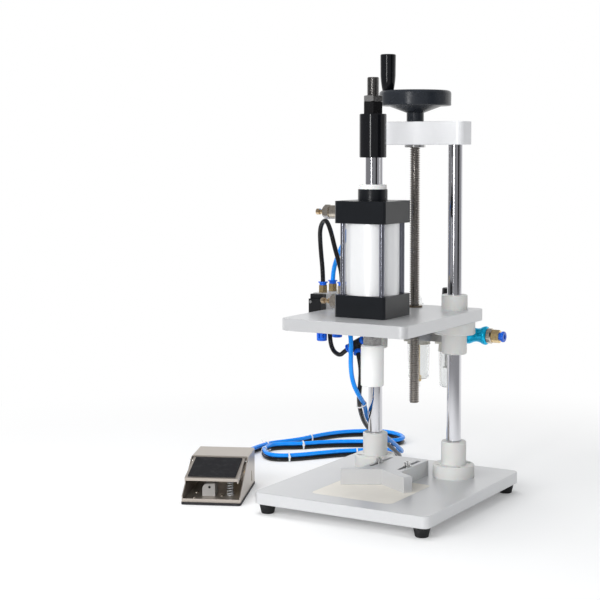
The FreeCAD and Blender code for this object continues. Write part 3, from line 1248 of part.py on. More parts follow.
def make_head_hoses():
    """Hoses that join the valve, cylinder, air unit and tee on the head."""
    outlet_mouth = VALVE_TOP + FITTING_HEX + COLLAR_REACH
    supply_mouth = VALVE_BOTTOM - FITTING_HEX - COLLAR_REACH
    bottom_x = -CAP_SIDE / 2 - (CONTROL_BASE + BOTTOM_CONTROL_REACH) / 2
    top_x = -CAP_SIDE / 2 - (CONTROL_BASE + TOP_CONTROL_REACH) / 2
    port_mouth = CONTROL_PORT + COLLAR_REACH
    to_bottom_cap = [
        Vector(VALVE_X, OUTLET_A_Y, outlet_mouth - HOSE_DEPTH),
        Vector(VALVE_X, OUTLET_A_Y, outlet_mouth + STRAIGHT_OUT),
        Vector(VALVE_X - 4, OUTLET_A_Y - 2, 396.0),
        Vector(VALVE_X - 1, 48.0, 429.0),
        Vector(-113.0, 39.0, 441.0),
        Vector(-97.0, 28.0, 429.0),
        Vector(-80.0, 15.0, 398.0),
        Vector(-67.0, 5.0, 377.0),
        Vector(bottom_x, 0.0, BOTTOM_CONTROL_Z + port_mouth + STRAIGHT_OUT - 2),
        Vector(bottom_x, 0.0, BOTTOM_CONTROL_Z + port_mouth - HOSE_DEPTH),
    ]
    tee_left = tee_end(TEE_RUN * -1.0, HOSE_DEPTH)
    tee_left_out = tee_end(TEE_RUN * -1.0, -10.0)
    to_tee = [
        Vector(VALVE_X, SUPPLY_Y, supply_mouth + HOSE_DEPTH),
        Vector(VALVE_X, SUPPLY_Y, supply_mouth - 14),
        Vector(VALVE_X + 9, SUPPLY_Y - 3, supply_mouth - 34),
        Vector(tee_left_out.x - 8, TEE_CENTRE.y + 1, supply_mouth - 41),
        tee_left_out,
        tee_left,
    ]
    air_mouth_y = AIR_MIDDLE_Y - ELBOW_ARM - COLLAR_REACH
    tee_right = tee_end(TEE_RUN, HOSE_DEPTH)
    tee_right_out = tee_end(TEE_RUN, -9.0)
    from_air_unit = [
        Vector(ELBOW_X, air_mouth_y + HOSE_DEPTH, AIR_AXIS_Z),
        Vector(ELBOW_X, air_mouth_y - 20, AIR_AXIS_Z),
        Vector(ELBOW_X + 14, air_mouth_y - 58, AIR_AXIS_Z + 2),
        Vector(-31.0, 112.0, AIR_AXIS_Z + 7),
        Vector(-33.0, 84.0, AIR_AXIS_Z + 12),
        tee_right_out,
        tee_right,
    ]
    save(
        "head_hoses_black",
        hose("bottom cap hose", to_bottom_cap),
        hose("tee hose", to_tee),
        hose("supply hose", from_air_unit),
    )
    to_top_cap = [
        Vector(VALVE_X, OUTLET_B_Y, outlet_mouth - HOSE_DEPTH),
        Vector(VALVE_X, OUTLET_B_Y, outlet_mouth + STRAIGHT_OUT),
        Vector(VALVE_X + 14, OUTLET_B_Y - 8, 380.0),
        Vector(-94.0, 74.0, 410.0),
        Vector(-84.0, 74.0, 437.0),
        Vector(-74.0, 76.0, TOP_CONTROL_Z),
        Vector(top_x, port_mouth + STRAIGHT_OUT, TOP_CONTROL_Z),
        Vector(top_x, port_mouth - HOSE_DEPTH, TOP_CONTROL_Z),
    ]
    pilot_mouth = VALVE_BACK + VALVE_CAP + FITTING_HEX + COLLAR_REACH
    pilot = [
        Vector(VALVE_X, pilot_mouth - HOSE_DEPTH, PILOT_Z),
        Vector(VALVE_X, pilot_mouth + STRAIGHT_OUT, PILOT_Z),
        Vector(VALVE_X + 1, pilot_mouth + 35, 280.0),
        Vector(VALVE_X + 4, pilot_mouth + 30, 252.0),
        Vector(-121.0, 146.0, 243.0),
        Vector(-112.0, 108.0, 250.0),
        Vector(-92.0, 74.0, 262.0),
        Vector(-74.0, 56.0, 262.0),
        BLUE_TOP + Vector(1.2, -0.5, 15.0),
        BLUE_TOP,
    ]
    save("head_hoses_blue", hose("top cap hose", to_top_cap), hose("pilot hose", pilot))


BLUE_TOP = Vector(-67.0, 49.0, 236.0)
BLACK_TOP = tee_end(TEE_BRANCH, 10.0)

BLACK_DROP = [
    BLACK_TOP,
    tee_end(TEE_BRANCH, -STRAIGHT_OUT),
    Vector(-59.0, 66.0, 182.0),
    Vector(-70.0, 81.5, 152.0),
    Vector(-82.5, 105.0, 119.0),
    Vector(-94.0, 135.0, 94.0),
    Vector(-104.0, 166.0, 73.0),
    Vector(-110.0, 198.0, 54.0),
    Vector(-114.0, 230.0, 38.0),
    Vector(-117.0, 262.0, 23.0),
    Vector(-120.0, 294.0, 7.0),
    Vector(-124.0, 326.0, -9.0),
    Vector(-131.0, 358.0, -24.0),
    Vector(-144.0, 386.0, BLACK_FLOOR_Z),
    Vector(-164.0, 396.0, BLACK_FLOOR_Z),
    Vector(-186.0, 390.0, BLACK_FLOOR_Z),
]
BLUE_DROP = [
    BLUE_TOP,
    Vector(-69.5, 50.0, 205.0),
    Vector(-69.5, 57.0, 172.0),
    Vector(-66.5, 74.0, 144.0),
    Vector(-70.0, 100.0, 126.5),
    Vector(-86.0, 134.0, 109.0),
    Vector(-101.0, 168.0, 84.0),
    Vector(-107.6, 202.4, 61.6),
    Vector(-111.6, 234.4, 45.6),
    Vector(-114.6, 266.4, 30.6),
    Vector(-117.6, 298.4, 14.6),
    Vector(-121.6, 330.4, -1.4),
    Vector(-128.6, 363.0, -15.0),
    Vector(-142.0, 391.0, BLUE_FLOOR_Z),
    Vector(-163.0, 401.0, BLUE_FLOOR_Z),
    Vector(-186.0, 395.0, BLUE_FLOOR_Z),
]
COIL_OUTLINE = [
    Vector(-180.0, 374.0, 0),
    Vector(-250.0, 318.0, 0),
    Vector(-312.0, 236.0, 0),
    Vector(-350.0, 215.0, 0),
    Vector(-394.0, 240.0, 0),
    Vector(-424.0, 310.0, 0),
    Vector(-404.0, 388.0, 0),
    Vector(-372.0, 480.0, 0),
    Vector(-320.0, 544.0, 0),
    Vector(-258.0, 572.0, 0),
    Vector(-200.0, 538.0, 0),
    Vector(-158.0, 446.0, 0),
]
LEAD_START = Vector(-416.0, 302.0, 0)
LEAD_MIDDLE = [
    Vector(-413.0, 262.0, 0),
    Vector(-402.0, 214.0, 0),
    Vector(-380.0, 164.0, 0),
    Vector(-352.0, 124.0, 0),
    Vector(-331.0, 100.0, 0),
]


def lead_points(port_x, floor_z, shift):
    """Route from the coil to a port on the foot valve's rear."""
    port_y = PEDAL_LENGTH / 2
    mouth = port_y + FITTING_HEX + COLLAR_REACH
    points = [point + Vector(shift, 0, floor_z) for point in [LEAD_START] + LEAD_MIDDLE]
    points.append(on_floor(Vector(port_x, mouth + STRAIGHT_OUT, PEDAL_PORT_HEIGHT)))
    points.append(on_floor(Vector(port_x, mouth - HOSE_DEPTH, PEDAL_PORT_HEIGHT)))
    return points


def on_floor(point):
    """Point of the foot valve's own frame, set in the machine's frame."""
    placement = FreeCAD.Placement(Vector(PEDAL_X, PEDAL_Y, FLOOR), FreeCAD.Rotation(Vector(0, 0, 1), PEDAL_TURN))
    return placement.multVec(point)


def stand(shape):
    """Shape of the foot valve's own frame, set in the machine's frame."""
    placed = shape.copy()
    placed.rotate(Vector(0, 0, 0), Vector(0, 0, 1), PEDAL_TURN)
    placed.translate(Vector(PEDAL_X, PEDAL_Y, FLOOR))
    return placed


def make_pedal_hoses():
    """The two hoses from the head to the foot valve, with their coil on the floor and its ties."""
    save("black_hose_drop", hose("black drop", BLACK_DROP))
    save("blue_hose_drop", hose("blue drop", BLUE_DROP))
    closed = COIL_OUTLINE[-1:] + COIL_OUTLINE + COIL_OUTLINE[:1]
    path, radii = bent_path(closed)
    arcs = path.Edges[1:-1]
    ends = (arcs[-1].Vertexes[-1].Point, arcs[0].Vertexes[0].Point)
    loop = Part.Wire(arcs + [Part.LineSegment(*ends).toShape()])
    coil = Part.Face(loop).extrude(Vector(0, 0, COIL_HEIGHT))
    coil.translate(Vector(0, 0, FLOOR))
    print("coil outline radii", [round(radius, 1) for radius in radii])
    save("hose_coil", coil)
    black = lead_points(PEDAL_PORT_X + PEDAL_PORT_SPACING, BLACK_FLOOR_Z, 0.0)
    blue = lead_points(PEDAL_PORT_X, BLUE_FLOOR_Z, 3.0)
    save("black_hose_lead", hose("black lead", black))
    save("blue_hose_lead", hose("blue lead", blue))


def make_pedal():
    """Foot valve: housing, rubber, treadle, small valve, plunger, spring and rear fittings."""
    half = PEDAL_WIDTH / 2
    rear = PEDAL_LENGTH / 2
    sheet = PEDAL_SHEET
    cover_front = rear - COVER_LENGTH
    profile = [
        Vector(-half, rear, PEDAL_RUBBER),
        Vector(-half, rear, PEDAL_HEIGHT),
        Vector(-half, cover_front, PEDAL_HEIGHT),
        Vector(-half, -rear, SIDE_FRONT_HEIGHT),
        Vector(-half, -rear, PEDAL_RUBBER),
    ]
    shell = Part.Face(Part.makePolygon(profile + profile[:1])).extrude(Vector(PEDAL_WIDTH, 0, 0))
    bends = [
        edge
        for edge in shell.Edges
        if edge.BoundBox.ZMin > PEDAL_HEIGHT - 0.01 and edge.BoundBox.YMin > cover_front - 0.01 and edge.BoundBox.XLength < 1
    ]
    shell = shell.makeFillet(PEDAL_BEND, bends)
    inside = block(-half + sheet, half - sheet, -PEDAL_LENGTH, rear - sheet, PEDAL_RUBBER + sheet, PEDAL_HEIGHT - sheet)
    shell = shell.cut(inside)
    lip = block(-half + sheet, half - sheet, -rear, -rear + sheet, PEDAL_RUBBER + sheet, PEDAL_RUBBER + 4 * sheet)
    shell = shell.fuse(lip)
    slot_y = rear - SIDE_SLOT_BACK
    slot = block(0, half + 1, slot_y - SIDE_SLOT_WIDTH / 2, slot_y + SIDE_SLOT_WIDTH / 2, SIDE_SLOT_BOTTOM, SIDE_SLOT_TOP)
    shell = shell.cut(slot)
    hinge_y = rear - HINGE_BACK
    across = Vector(1, 0, 0)
    shell = shell.cut(bar(HINGE_PIN_RADIUS + PRESS_GAP, Vector(-half - 1, hinge_y, HINGE_HEIGHT), across, PEDAL_WIDTH + 2))
    fittings = []
    for port_x in (PEDAL_PORT_X, PEDAL_PORT_X + PEDAL_PORT_SPACING):
        seat = Vector(port_x, rear, PEDAL_PORT_HEIGHT)
        shell = shell.cut(bar(FITTING_STUB_RADIUS + PRESS_GAP, seat - Vector(0, 4, 0), Vector(0, 1, 0), 5))
        brass, collar = push_in(seat, Vector(0, 1, 0), 2.5 * sheet)
        fittings += [stand(brass), stand(collar)]
    save("pedal_housing", stand(shell.removeSplitter()))
    save("pedal_fittings", *fittings)
    rubber = block(-half - 1, half + 1, -rear - 3, rear + 1, 0, PEDAL_RUBBER)
    save("pedal_base_pad", stand(rubber.makeFillet(5.0, upright_edges(rubber))))
    pin = bar(HINGE_PIN_RADIUS, Vector(-half - 1, hinge_y, HINGE_HEIGHT), across, PEDAL_WIDTH + 2)

    tread_half = TREAD_WIDTH / 2
    tread_rear = cover_front - TREAD_REAR_GAP
    slope = math.atan2(TREAD_DROP, TREAD_LENGTH)
    deck = block(-tread_half, tread_half, -TREAD_LENGTH, 0, -sheet, 0)
    for side in (-tread_half, tread_half - sheet):
        deck = deck.fuse(block(side, side + sheet, -TREAD_LENGTH, 0, -TREAD_FLANGE, 0))
    deck = deck.fuse(block(-tread_half, tread_half, -TREAD_LENGTH, -TREAD_LENGTH + sheet, -0.6 * TREAD_FLANGE, 0))
    deck = deck.removeSplitter()
    mat_half = TREAD_RUBBER_WIDTH / 2
    mat_front = -(TREAD_LENGTH + TREAD_RUBBER_LENGTH) / 2
    mat = block(-mat_half, mat_half, mat_front, mat_front + TREAD_RUBBER_LENGTH, 0, TREAD_RUBBER_THICK)
    ribs = int(TREAD_RUBBER_LENGTH // MAT_RIB_PITCH)
    for rib in range(ribs):
        groove = mat_front + (rib + 0.5) * MAT_RIB_PITCH
        mat = mat.cut(
            block(-mat_half - 1, mat_half + 1, groove, groove + MAT_RIB_PITCH / 2, TREAD_RUBBER_THICK / 2, TREAD_RUBBER_THICK + 1)
        )
    placed = []
    for shape in (deck, mat):
        shape.rotate(Vector(0, 0, 0), Vector(1, 0, 0), math.degrees(slope))
        shape.translate(Vector(0, tread_rear, PEDAL_HEIGHT - TREAD_REAR_DROP))
        placed.append(shape)
    lug_radius = 2.2 * HINGE_PIN_RADIUS
    for side in (-tread_half, tread_half - sheet):
        placed[0] = placed[0].fuse(bar(lug_radius, Vector(side, hinge_y, HINGE_HEIGHT), across, sheet))
    placed[0] = placed[0].cut(bar(HINGE_PIN_RADIUS + SHAFT_GAP, Vector(-half, hinge_y, HINGE_HEIGHT), across, PEDAL_WIDTH))
    save("treadle", stand(placed[0].removeSplitter()))
    save("tread_rubber", stand(placed[1]))

    floor_sheet = PEDAL_RUBBER + sheet
    valve_back = rear - PEDAL_VALVE_BACK
    valve_front = rear - PEDAL_VALVE_FRONT
    valve = block(PEDAL_VALVE_LEFT, PEDAL_VALVE_RIGHT, valve_front, valve_back, floor_sheet, PEDAL_VALVE_TOP)
    crown = [
        edge
        for edge in valve.Edges
        if edge.BoundBox.ZMin > PEDAL_VALVE_TOP - 0.01 and edge.BoundBox.XMax < PEDAL_VALVE_LEFT + 0.01
    ]
    valve = valve.makeFillet(9.0, crown)
    plunger_y = rear - PLUNGER_BACK
    plunger_hole = PEDAL_VALVE_TOP - 12
    valve = valve.cut(cylinder(PLUNGER_RADIUS + SHAFT_GAP, plunger_hole - 1, PEDAL_VALVE_TOP + 1, PLUNGER_X, plunger_y))
    save("pedal_valve", stand(valve))
    deck_under = under_deck(plunger_y, slope, tread_rear)
    plunger = cylinder(PLUNGER_RADIUS, PEDAL_VALVE_TOP - 6, deck_under - 1.5, PLUNGER_X, plunger_y)
    save("pedal_plunger", stand(plunger.fuse(Part.makeSphere(2.5, Vector(PLUNGER_X, plunger_y, deck_under - 2.9)))))
    spring_y = rear - SPRING_BACK
    spring_top = under_deck(spring_y, slope, tread_rear) - 2.2
    spring_height = spring_top - floor_sheet - 2 * SPRING_WIRE
    coil = wire_spring(SPRING_RADIUS, SPRING_WIRE, SPRING_TURNS, spring_height)
    print("spring volume", round(coil.Volume, 1))
    coil.translate(Vector(SPRING_X, spring_y, floor_sheet + SPRING_WIRE))
    save("pedal_spring", stand(coil))
    return stand(pin)


MAT_RIB_PITCH = 3.9
TREAD_REAR_DROP = 2.2


def under_deck(y, slope, tread_rear):
    """Height of the treadle's underside at a distance along the foot valve."""
    return PEDAL_HEIGHT - TREAD_REAR_DROP - (tread_rear - y) * math.tan(slope) - PEDAL_SHEET / math.cos(slope)


def make_block():
    """Bottle block: a slotted slide with a wide V at its front."""
    angle = math.radians(BLOCK_WING_TURN)
    vertex = Vector(0, BLOCK_VERTEX_Y, 0)
    right = []
    tip = Vector(BLOCK_WING_LENGTH * math.cos(angle), BLOCK_VERTEX_Y - BLOCK_WING_LENGTH * math.sin(angle), 0)
    outer = tip + Vector(BLOCK_WING_WIDTH * math.sin(angle), BLOCK_WING_WIDTH * math.cos(angle), 0)
    root_y = outer.y + (outer.x - BLOCK_HALF_WIDTH) * math.tan(angle)
    right = [tip, outer, Vector(BLOCK_HALF_WIDTH, root_y, 0), Vector(BLOCK_HALF_WIDTH, BLOCK_BACK_Y, 0)]
    left = [Vector(-point.x, point.y, 0) for point in reversed(right)]
    points = [vertex] + right + left
    solid = Part.Face(Part.makePolygon(points + points[:1])).extrude(Vector(0, 0, BLOCK_HEIGHT))
    solid = solid.makeChamfer(PLATE_CHAMFER, level_edges(solid, BLOCK_HEIGHT))
    solid.translate(Vector(0, 0, FACE_GAP))
    end = SLOT_WIDTH / 2
    for x in (-SLOT_X, SLOT_X):
        slot = block(x - end, x + end, SLOT_FRONT_Y, SLOT_BACK_Y, -1, BLOCK_HEIGHT + 1)
        solid = solid.cut(slot.makeFillet(0.98 * end, upright_edges(slot)))
    save("v_block", solid)


def main():
    """Build every node of the machine."""
    os.makedirs("parts", exist_ok=True)
    frame_screws = make_base() + make_frame()
    make_height_drive()
    plate_screws = make_head_plate()
    make_cylinder()
    make_rod()
    bodies = []
    nickel = []
    collars = []
    for z, reach, way in (
        (TOP_CONTROL_Z, TOP_CONTROL_REACH, Vector(0, 1, 0)),
        (BOTTOM_CONTROL_Z, BOTTOM_CONTROL_REACH, Vector(0, 0, 1)),
    ):
        body, hexagons, collar = make_controller(z, reach, way)
        bodies.append(body)
        nickel += hexagons
        collars.append(collar)
    save("controller_bodies", *bodies)
    make_needle("needle_top", TOP_CONTROL_Z, TOP_CONTROL_REACH, TOP_NEEDLE_OUT)
    make_needle("needle_bottom", BOTTOM_CONTROL_Z, BOTTOM_CONTROL_REACH, BOTTOM_NEEDLE_OUT)
    cap_screws, brass, valve_collars = make_valve()
    air_screws, air_brass, air_collars = make_air_unit()
    spool, inlet_brass, inlet_collars = make_slide_valve()
    save("plate_screws", *(plate_screws + cap_screws + air_screws))
    save("brass_fittings", *(brass + air_brass + inlet_brass))
    save("nickel_fittings", *(nickel + spool))
    save("fitting_collars", *(collars + valve_collars + air_collars + inlet_collars + make_tee()))
    make_head_hoses()
    make_pedal_hoses()
    make_block()
    frame_screws.append(make_pedal())
    save("frame_screws", *frame_screws)


main()
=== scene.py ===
"""Dressed model of a benchtop pneumatic capping machine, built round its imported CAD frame.

The frame gives every rigid body. This script adds the hoses, threads, ties and small fittings,
gives each surface its finish, and sets the camera, lamps and floor.
"""

import logging
import math
from dataclasses import dataclass, field
from enum import Enum
from typing import Any, ClassVar, Iterable, Optional, Sequence, Union

import bmesh
import bpy
from mathutils import Matrix, Vector


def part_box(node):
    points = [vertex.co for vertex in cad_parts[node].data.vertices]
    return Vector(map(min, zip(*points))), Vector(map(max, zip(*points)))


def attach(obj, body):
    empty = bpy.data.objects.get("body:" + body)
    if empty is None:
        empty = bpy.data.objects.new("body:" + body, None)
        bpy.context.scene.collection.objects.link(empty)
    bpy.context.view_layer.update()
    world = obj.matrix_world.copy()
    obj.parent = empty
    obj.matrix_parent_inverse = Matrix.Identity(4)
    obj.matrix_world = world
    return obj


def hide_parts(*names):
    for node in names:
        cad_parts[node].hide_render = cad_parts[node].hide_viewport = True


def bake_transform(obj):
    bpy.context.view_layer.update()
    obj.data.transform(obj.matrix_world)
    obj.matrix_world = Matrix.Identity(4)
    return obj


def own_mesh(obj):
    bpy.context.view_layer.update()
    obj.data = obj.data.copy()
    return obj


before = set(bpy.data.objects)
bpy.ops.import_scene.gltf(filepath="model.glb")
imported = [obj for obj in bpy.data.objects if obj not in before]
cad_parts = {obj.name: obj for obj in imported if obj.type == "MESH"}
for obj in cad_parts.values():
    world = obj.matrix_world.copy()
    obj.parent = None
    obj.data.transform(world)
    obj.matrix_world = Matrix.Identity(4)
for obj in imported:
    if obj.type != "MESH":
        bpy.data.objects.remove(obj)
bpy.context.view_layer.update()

log = logging.getLogger("capping_machine")

MM = 0.001
Item = bpy.types.Object
Form = bmesh.types.BMesh
Colour = tuple[float, float, float]
Point = tuple[float, float, float]
WHITE_LIGHT: Colour = (1.0, 1.0, 1.0)


def metres(points: Iterable[Point]) -> list[Vector]:
    """Points given in millimetres, as vectors in metres."""
    return [Vector(point) * MM for point in points]


def node_middle(name: str) -> Vector:
    """Middle of a CAD node's box at rest."""
    low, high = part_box(name)
    return (low + high) / 2


def add_object(name: str, data: bpy.types.ID) -> Item:
    """Puts a mesh, curve, lamp or camera in the scene.

    Args:
        name: the object's name.
        data: what it shows.

    Returns:
        The new object.
    """
    item = bpy.data.objects.new(name, data)
    bpy.context.scene.collection.objects.link(item)
    return item


# ---- shader maths


class Signal:
    """A shader socket that adds Math nodes when it is used in arithmetic."""

    def __init__(self, bench: "NodeBench", socket: bpy.types.NodeSocket) -> None:
        """Wraps a socket of a bench's tree."""
        self.bench = bench
        self.socket = socket

    def _math(self, operation: str, first: "Value", second: "Value") -> "Signal":
        """Adds a Math node on two values."""
        made = self.bench.node("Math", {"operation": operation}, {0: first, 1: second})
        return Signal(self.bench, made.outputs[0])

    def __add__(self, other: "Value") -> "Signal":
        """Sum."""
        return self._math("ADD", self, other)

    __radd__ = __add__

    def __sub__(self, other: "Value") -> "Signal":
        """Difference."""
        return self._math("SUBTRACT", self, other)

    def __rsub__(self, other: "Value") -> "Signal":
        """Difference from a number."""
        return self._math("SUBTRACT", other, self)

    def __mul__(self, other: "Value") -> "Signal":
        """Product."""
        return self._math("MULTIPLY", self, other)

    __rmul__ = __mul__

    def either(self, other: "Value") -> "Signal":
        """The larger of two values."""
        return self._math("MAXIMUM", self, other)

    def fade(self, low: float, high: float) -> "Signal":
        """0 below low, 1 above high and smooth between them.

        Args:
            low: where it starts to rise.
            high: where it is 1.

        Returns:
            The faded signal.
        """
        made = self.bench.node(
            "MapRange",
            {"interpolation_type": "SMOOTHSTEP"},
            {"Value": self, "From Min": low, "From Max": high},
        )
        return Signal(self.bench, made.outputs[0])


Value = Union[Signal, bpy.types.NodeSocket, float, int, Sequence[float]]


class NodeBench:
    """A shader tree with one way to add its nodes."""

    def __init__(self, tree: bpy.types.NodeTree) -> None:
        """Takes a tree over and empties it."""
        self.tree = tree
        self.tree.nodes.clear()

    def plug(self, socket: bpy.types.NodeSocket, value: Value) -> None:
        """Links a socket to a signal, or sets its plain value.

        Args:
            socket: an input of a node.
            value: a signal, another node's output, a number or a colour.
        """
        if isinstance(value, Signal):
            self.tree.links.new(value.socket, socket)
        elif isinstance(value, bpy.types.NodeSocket):
            self.tree.links.new(value, socket)
        elif socket.type == "RGBA" and len(value) == 3:
            socket.default_value = (*value, 1.0)
        else:
            socket.default_value = value

    def node(
        self,
        kind: str,
        settings: Optional[dict[str, Any]] = None,
        sockets: Optional[dict[Union[str, int], Value]] = None,
    ) -> bpy.types.Node:
        """Adds a shader node.

        Args:
            kind: type name without its ShaderNode prefix.
            settings: attributes that are set first.
            sockets: values or links of its inputs, by name or number.

        Returns:
            The new node.
        """
        made = self.tree.nodes.new("ShaderNode" + kind)
        for key, value in (settings or {}).items():
            setattr(made, key, value)
        for key, value in (sockets or {}).items():
            self.plug(made.inputs[key], value)
        return made


class Bench(NodeBench):
    """Builds one procedural material round a Principled shader."""

    def __init__(self, name: str) -> None:
        """Starts a material with its output and shader.

        Args:
            name: the material's name.
        """
        self.material = bpy.data.materials.new(name)
        self.material.use_nodes = True
        super().__init__(self.material.node_tree)
        self.output = self.node("OutputMaterial")
        self.shader = self.node("BsdfPrincipled")
        self.plug(self.output.inputs["Surface"], self.shader.outputs[0])

    def place(self, stretch: Point = (1.0, 1.0, 1.0)) -> Signal:
        """Object coordinates in metres, stretched along each axis.

        Args:
            stretch: factors along X, Y and Z.

        Returns:
            The coordinates.
        """
        where = self.node("TexCoord").outputs["Object"]
        made = self.node("VectorMath", {"operation": "MULTIPLY"}, {0: where, 1: stretch})
        return Signal(self, made.outputs[0])

    def noise(self, scale: float, stretch: Point = (1.0, 1.0, 1.0), detail: float = 3.0) -> Signal:
        """Soft noise from 0 to 1.

        Args:
            scale: grains per metre.
            stretch: factors of the coordinates.
            detail: octaves of finer noise.

        Returns:
            The noise.
        """
        sockets = {"Vector": self.place(stretch), "Scale": scale, "Detail": detail}
        return Signal(self, self.node("TexNoise", None, sockets).outputs[0])

    def cells(self, scale: float, stretch: Point = (1.0, 1.0, 1.0)) -> Signal:
        """Distance to the nearest cell centre."""
        made = self.node("TexVoronoi", None, {"Vector": self.place(stretch), "Scale": scale})
        return Signal(self, made.outputs["Distance"])

    def mix(self, factor: Value, first: Value, second: Value) -> Signal:
        """Colour between two colours."""
        made = self.node("Mix", {"data_type": "RGBA"}, {0: factor, 6: first, 7: second})
        return Signal(self, made.outputs[2])

    def bump(self, height: Signal, depth: float, strength: float = 1.0) -> None:
        """Raises the shader's normal by a height signal; depth is in metres."""
        made = self.node("Bump", None, {"Height": height, "Distance": depth, "Strength": strength})
        self.plug(self.shader.inputs["Normal"], made.outputs[0])

    def dress(self, values: dict[str, Value]) -> None:
        """Sets or links the shader's inputs by name."""
        for key, value in values.items():
            self.plug(self.shader.inputs[key], value)


def shade(colour: Colour, factor: float) -> Colour:
    """A colour made darker or lighter."""
    return tuple(min(1.0, part * factor) for part in colour)


# ---- finishes


@dataclass(frozen=True)
class Finish:
    """A surface finish; each kind lays its own nodes on a bench."""

    name: str
    colour: Colour

    def lay(self, bench: Bench) -> None:
        """Lays the finish's nodes."""
        raise NotImplementedError

    def material(self) -> bpy.types.Material:
        """The finish as a material, made once.

        Returns:
            The material that all its pieces share.
        """
        title = self.name + "_finish"
        found = bpy.data.materials.get(title)
        if found:
            return found
        bench = Bench(title)
        self.lay(bench)
        return bench.material


@dataclass(frozen=True)
class GrainedMetal(Finish):
    """Metal with a drawn, milled or brushed grain along one axis."""

    roughness: float = 0.3
    grain: Point = (1.0, 1.0, 1.0)
    grain_scale: float = 900.0
    grain_depth: float = 4e-6
    contrast: float = 0.10
    metallic: float = 1.0

    def lay(self, bench: Bench) -> None:
        """Streaks in colour, roughness and relief, with a slow drift under them.

        Args:
            bench: receives the nodes.
        """
        streaks = bench.noise(self.grain_scale, self.grain, 4.0)
        drift = bench.noise(14.0)
        dark = shade(self.colour, 1.0 - self.contrast)
        bench.dress(
            {
                "Base Color": bench.mix(streaks * 0.6 + drift * 0.4, dark, self.colour),
                "Roughness": self.roughness * 0.82 + streaks * (self.roughness * 0.36),
                "Metallic": self.metallic,
            }
        )
        bench.bump(streaks, self.grain_depth)


@dataclass(frozen=True)
class CastMetal(Finish):
    """Turned or plated small metal parts with a fine cloudy surface."""

    roughness: float = 0.22
    contrast: float = 0.14

    def lay(self, bench: Bench) -> None:
        """Cloudy colour and roughness with fine relief.

        Args:
            bench: receives the nodes.
        """
        cloud = bench.noise(260.0, detail=5.0)
        fine = bench.noise(2600.0)
        dark = shade(self.colour, 1.0 - self.contrast)
        bench.dress(
            {
                "Base Color": bench.mix(cloud.fade(0.3, 0.7), dark, self.colour),
                "Roughness": self.roughness * 0.75 + cloud * (self.roughness * 0.5),
                "Metallic": 1.0,
            }
        )
        bench.bump(fine, 3e-6)


@dataclass(frozen=True)
class NutSteel(Finish):
    """Hex nuts of one rod: blackened between two heights, bright zinc plate elsewhere."""

    bright: Colour = (0.74, 0.73, 0.71)
    black_from: float = 0.60
    black_to: float = 0.6448

    def lay(self, bench: Bench) -> None:
        """Picks the plating by height and clouds it.

        Args:
            bench: receives the nodes.
        """
        height = bench.node("SeparateXYZ", None, {0: bench.place()}).outputs["Z"]
        level = Signal(bench, height)
        black = level.fade(self.black_from - 1e-4, self.black_from + 1e-4)
        black = black * (1 - level.fade(self.black_to - 1e-4, self.black_to + 1e-4))
        cloud = bench.noise(240.0, detail=5.0)
        plate = bench.mix(cloud.fade(0.3, 0.7), shade(self.bright, 0.84), self.bright)
        bench.dress(
            {
                "Base Color": bench.mix(black, plate, self.colour),
                "Roughness": 0.16 + cloud * 0.14,
                "Metallic": 1.0 - black * 0.9,
            }
        )
        bench.bump(bench.noise(2600.0), 3e-6)


@dataclass(frozen=True)
class Moulded(Finish):
    """Moulded or turned plastic, with its skin's fine grain."""

    roughness: float = 0.35
    coat: float = 0.0
    grain_scale: float = 1800.0
    grain_depth: float = 6e-6
    contrast: float = 0.08
    glow: float = 0.0

    def lay(self, bench: Bench) -> None:
        """Slow colour drift, handled patches in the gloss and a fine skin.

        Args:
            bench: receives the nodes.
        """
        drift = bench.noise(24.0, detail=4.0)
        skin = bench.noise(self.grain_scale)
        patches = bench.noise(60.0, detail=2.0)
        dark = shade(self.colour, 1.0 - self.contrast)
        bench.dress(
            {
                "Base Color": bench.mix(drift.fade(0.25, 0.75), dark, self.colour),
                "Roughness": self.roughness * 0.85 + patches * (self.roughness * 0.3),
                "Coat Weight": self.coat,
                "Coat Roughness": 0.06,
                "Subsurface Weight": self.glow,
                "Subsurface Scale": 0.004,
            }
        )
        bench.bump(skin, self.grain_depth)


@dataclass(frozen=True)
class Rubber(Finish):
    """Matt rubber with a dusty bloom."""

    def lay(self, bench: Bench) -> None:
        """Dust in patches and a pitted surface.

        Args:
            bench: receives the nodes.
        """
        dust = bench.noise(90.0, detail=6.0)
        pits = bench.cells(1400.0)
        pale = tuple(part + 0.018 for part in self.colour)
        bench.dress(
            {
                "Base Color": bench.mix(dust.fade(0.45, 0.75), self.colour, pale),
                "Roughness": 0.62 + dust * 0.25,
                "Specular IOR Level": 0.35,
            }
        )
        bench.bump(pits, 1.5e-5, 0.6)


@dataclass(frozen=True)
class ClearPlastic(Finish):
    """Clear moulded bowl."""

    def lay(self, bench: Bench) -> None:
        """Glassy shell with faint flow marks.

        Args:
            bench: receives the nodes.
        """
        flow = bench.noise(40.0, (1.0, 1.0, 0.3))
        bench.dress(
            {
                "Base Color": self.colour,
                "Roughness": 0.03 + flow * 0.05,
                "Transmission Weight": 0.92,
                "IOR": 1.2,
                "Specular IOR Level": 0.5,
            }
        )
        bench.bump(flow, 1.2e-4, 0.4)


@dataclass(frozen=True)
class HoseSkin(Finish):
    """Smooth glossy air hose."""

    def lay(self, bench: Bench) -> None:
        """Even colour with handling marks in the gloss.

        Args:
            bench: receives the nodes.
        """
        marks = bench.noise(120.0, detail=5.0)
        bench.dress(
            {
                "Base Color": bench.mix(marks.fade(0.3, 0.8), self.colour, shade(self.colour, 1.18)),
                "Roughness": 0.10 + marks * 0.10,
                "Specular IOR Level": 0.45,
                "Subsurface Weight": 0.04,
                "Subsurface Scale": 0.002,
            }
        )
        bench.bump(bench.noise(700.0), 4e-6)


